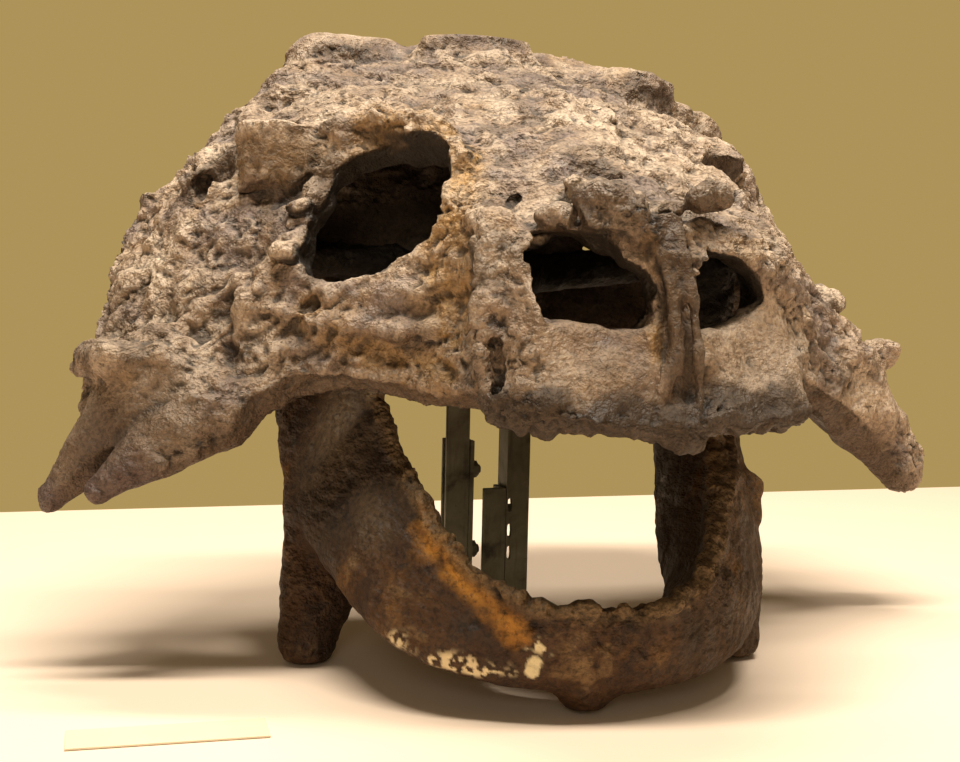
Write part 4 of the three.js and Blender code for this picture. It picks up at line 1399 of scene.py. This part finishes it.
jawLook = {
    "brown": (0.062, 0.028, 0.009),
    "redBrown": (0.042, 0.018, 0.006),
    "greyBrown": (0.100, 0.066, 0.036),
    "dark": (0.024, 0.014, 0.008),
    "ochre": (0.380, 0.160, 0.020),
    "tan": (0.280, 0.170, 0.075),
    "cream": (0.700, 0.560, 0.330),
    "plaster": (0.700, 0.580, 0.340),
    # pit: the colour of painted shade in pits, and of the dark grain of the tooth row and the pores
    "pit": (0.008, 0.005, 0.003),
}


def makeJawMaterial(look):
    made, tree, where, shader = startMaterial("jawBone")
    broad = noiseNode(tree, where, 22, 5, 0.6, 0.5)
    colour = coloured(
        tree,
        broad,
        [(0.34, look["dark"]), (0.45, look["redBrown"]), (0.57, look["brown"]), (0.74, look["tan"])],
    )
    grey = mixed(tree, noiseNode(tree, where, 34, 5), look["greyBrown"], look["brown"])
    colour = mixed(tree, attribute(tree, "leftSide", 0.55), colour, grey)
    cloud = coloured(
        tree, noiseNode(tree, where, 20, 5, 0.6, 0.5), [(0.38, look["dark"]), (0.62, look["greyBrown"])]
    )
    colour = mixed(tree, attribute(tree, "darkUpper", 0.85), colour, cloud)
    # darker red-brown on the left ramus's inner face: partly its colour, partly painted shade
    colour = mixed(tree, attribute(tree, "insideLeft", 0.75), colour, look["redBrown"])
    warm = attribute(tree, "ochreBand", noiseNode(tree, where, 55, 5, 0.6))
    colour = mixed(tree, sums(tree, "MULTIPLY", warm, 1.5), colour, look["ochre"])
    stain = coloured(tree, noiseNode(tree, where, 24, 5, 0.6), [(0.58, 0), (0.74, 0.35)])
    colour = mixed(tree, stain, colour, look["ochre"])
    crown = mixed(tree, noiseNode(tree, where, 120, 5, 0.7), look["pit"], look["tan"])
    colour = mixed(tree, attribute(tree, "toothRow", 0.7), colour, crown)
    relief = sums(tree, "MULTIPLY_ADD", attribute(tree, "relief"), 0.4, 0.5)
    # painted highlight: paler where the skin stands out above its neighbours
    paintedRidgeHighlight = coloured(tree, relief, [(0.55, 0), (0.9, 0.28)])
    colour = mixed(tree, paintedRidgeHighlight, colour, look["tan"])
    # painted shade: darker where the skin sinks below its neighbours, in pits
    paintedPitShade = coloured(tree, relief, [(0.08, 0.92), (0.28, 0.5), (0.46, 0)])
    colour = mixed(tree, paintedPitShade, colour, look["pit"])
    pores = coloured(tree, noiseNode(tree, where, 330, 5, 0.7), [(0.28, 0.8), (0.42, 0)])
    colour = mixed(tree, pores, colour, look["pit"])
    gritty = noiseNode(tree, where, 340, 2, 0.6, 0.4)
    grit = coloured(tree, gritty, [(0.34, 0.5), (0.5, 0.95), (0.66, 1.1)])
    colour = mixed(tree, 1.0, colour, grit, "MULTIPLY")
    colour = mixed(tree, attribute(tree, "flaking"), colour, look["cream"])
    colour = mixed(tree, attribute(tree, "plaster"), colour, look["plaster"])
    gloss = coloured(tree, noiseNode(tree, where, 38, 5), [(0.3, 0.5), (0.7, 0.85)])
    shader.inputs["Specular IOR Level"].default_value = 0.3
    # heights in millimetres: grain, long fibres, chips
    fibres = node(tree, "ShaderNodeMapping", {"Vector": where, "Scale": (1.0, 0.35, 1.0)}).outputs[0]
    height = sums(tree, "MULTIPLY", noiseNode(tree, where, 90, 3, 0.55), 7.0)
    height = sums(tree, "MULTIPLY_ADD", noiseNode(tree, fibres, 240, 2, 0.6), 3.5, height)
    height = sums(tree, "MULTIPLY_ADD", gritty, 1.2, height)
    height = sums(tree, "MULTIPLY", height, sums(tree, "MULTIPLY_ADD", attribute(tree, "rough"), 0.6, 0.35))
    height = sums(tree, "MULTIPLY_ADD", attribute(tree, "plaster"), 0.4, height)
    finished(tree, shader, colour, gloss, height)
    return made


jawBone = makeJawMaterial(jawLook)


def makeJaw():
    space = lattice(*jaw["box"], jaw["step"])
    mesh = weatheredMesh("jaw", jawField(space), space, jawRelief, jawMarks)
    turn = math.radians(jaw["turn"])
    across = np.array([math.cos(turn), -math.sin(turn), 0])
    right, left = (sides(np.array(jaw["chin"]) + way * jaw["chinHalf"] * across, across) for way in (-1, 1))
    planes = {"jaw_ramus_right": [right[0]], "jaw_chin": [right[1], left[0]], "jaw_ramus_left": [left[1]]}
    makePieces(mesh, planes, jawBone)


makeJaw()
say("jaw is made")

# The stand and the card

steelLook = {
    "paint": (0.150, 0.132, 0.075),
    "worn": (0.230, 0.205, 0.130),
    "grime": (0.045, 0.036, 0.020),
    "card": (0.80, 0.70, 0.50),
    "aged": (0.72, 0.61, 0.42),
    "fleck": (0.45, 0.36, 0.22),
}
# metres by which the edges of each kind of part are rounded, and the angle in degrees that counts as an edge
rounding = {"label_card": 0.00025, "stand_bolt": 0.0004, "stand_steel": 0.0006, "sharp": 30}


def makeSteelMaterial(look):
    made, tree, where, shader = startMaterial("olivePaint")
    broad = noiseNode(tree, where, 30, 6, 0.65, 0.3)
    colour = coloured(tree, broad, [(0.36, look["grime"]), (0.47, look["paint"]), (0.66, look["worn"])])
    streak = node(tree, "ShaderNodeMapping", {"Vector": where, "Scale": (1.0, 1.0, 0.12)}).outputs[0]
    runs = coloured(tree, noiseNode(tree, streak, 260, 4), [(0.54, 0), (0.74, 0.6)])
    colour = mixed(tree, runs, colour, look["grime"])
    chips = coloured(tree, noiseNode(tree, where, 420, 3), [(0.70, 0), (0.76, 0.7)])
    colour = mixed(tree, chips, colour, look["grime"])
    gloss = coloured(tree, broad, [(0.35, 0.62), (0.65, 0.38)])
    shader.inputs["Metallic"].default_value = 0.15
    finished(tree, shader, colour, gloss, noiseNode(tree, where, 380, 6), 0.35, 0.0004)
    return made


def makeCardMaterial(look):
    made, tree, where, shader = startMaterial("creamCard")
    fibres = noiseNode(tree, where, 700, 5, 0.7)
    colour = mixed(tree, noiseNode(tree, where, 40, 4), look["card"], look["aged"])
    flecks = coloured(tree, fibres, [(0.28, 0.35), (0.40, 0)])
    colour = mixed(tree, flecks, colour, look["fleck"])
    finished(tree, shader, colour, 0.8, fibres, 0.3, 0.0002)
    return made


# A copy of a node of the frame, merged, with its sharp edges rounded.
def rounded(nodeName, material, slot):
    piece = bmesh.new()
    piece.from_mesh(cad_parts[nodeName].data)
    bmesh.ops.remove_doubles(piece, verts=piece.verts, dist=1e-6)
    bmesh.ops.dissolve_limit(piece, angle_limit=0.02, verts=piece.verts, edges=piece.edges)
    for face in piece.faces:
        face.smooth = False
    limit = math.radians(rounding["sharp"])
    sharp = [edge for edge in piece.edges if edge.is_manifold and edge.calc_face_angle() > limit]
    bevelled = bmesh.ops.bevel(
        piece, geom=sharp, offset=rounding[slot], offset_type="OFFSET", segments=2, profile=0.5,
        affect="EDGES", clamp_overlap=True,
    )
    for face in bevelled["faces"]:
        face.smooth = True
    bmesh.ops.triangulate(piece, faces=[face for face in piece.faces if len(face.verts) > 4])
    mesh = bpy.data.meshes.new(pieceName(nodeName))
    piece.to_mesh(mesh)
    piece.free()
    place(nodeName, mesh, material)


def makeStand():
    paint, card = makeSteelMaterial(steelLook), makeCardMaterial(steelLook)
    for nodeName in sorted(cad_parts):
        if nodeName == "stand_label_card":
            rounded(nodeName, card, "label_card")
        elif nodeName.startswith("stand_"):
            rounded(nodeName, paint, "stand_bolt" if nodeName.startswith("stand_bolt") else "stand_steel")


makeStand()
say("stand is made")
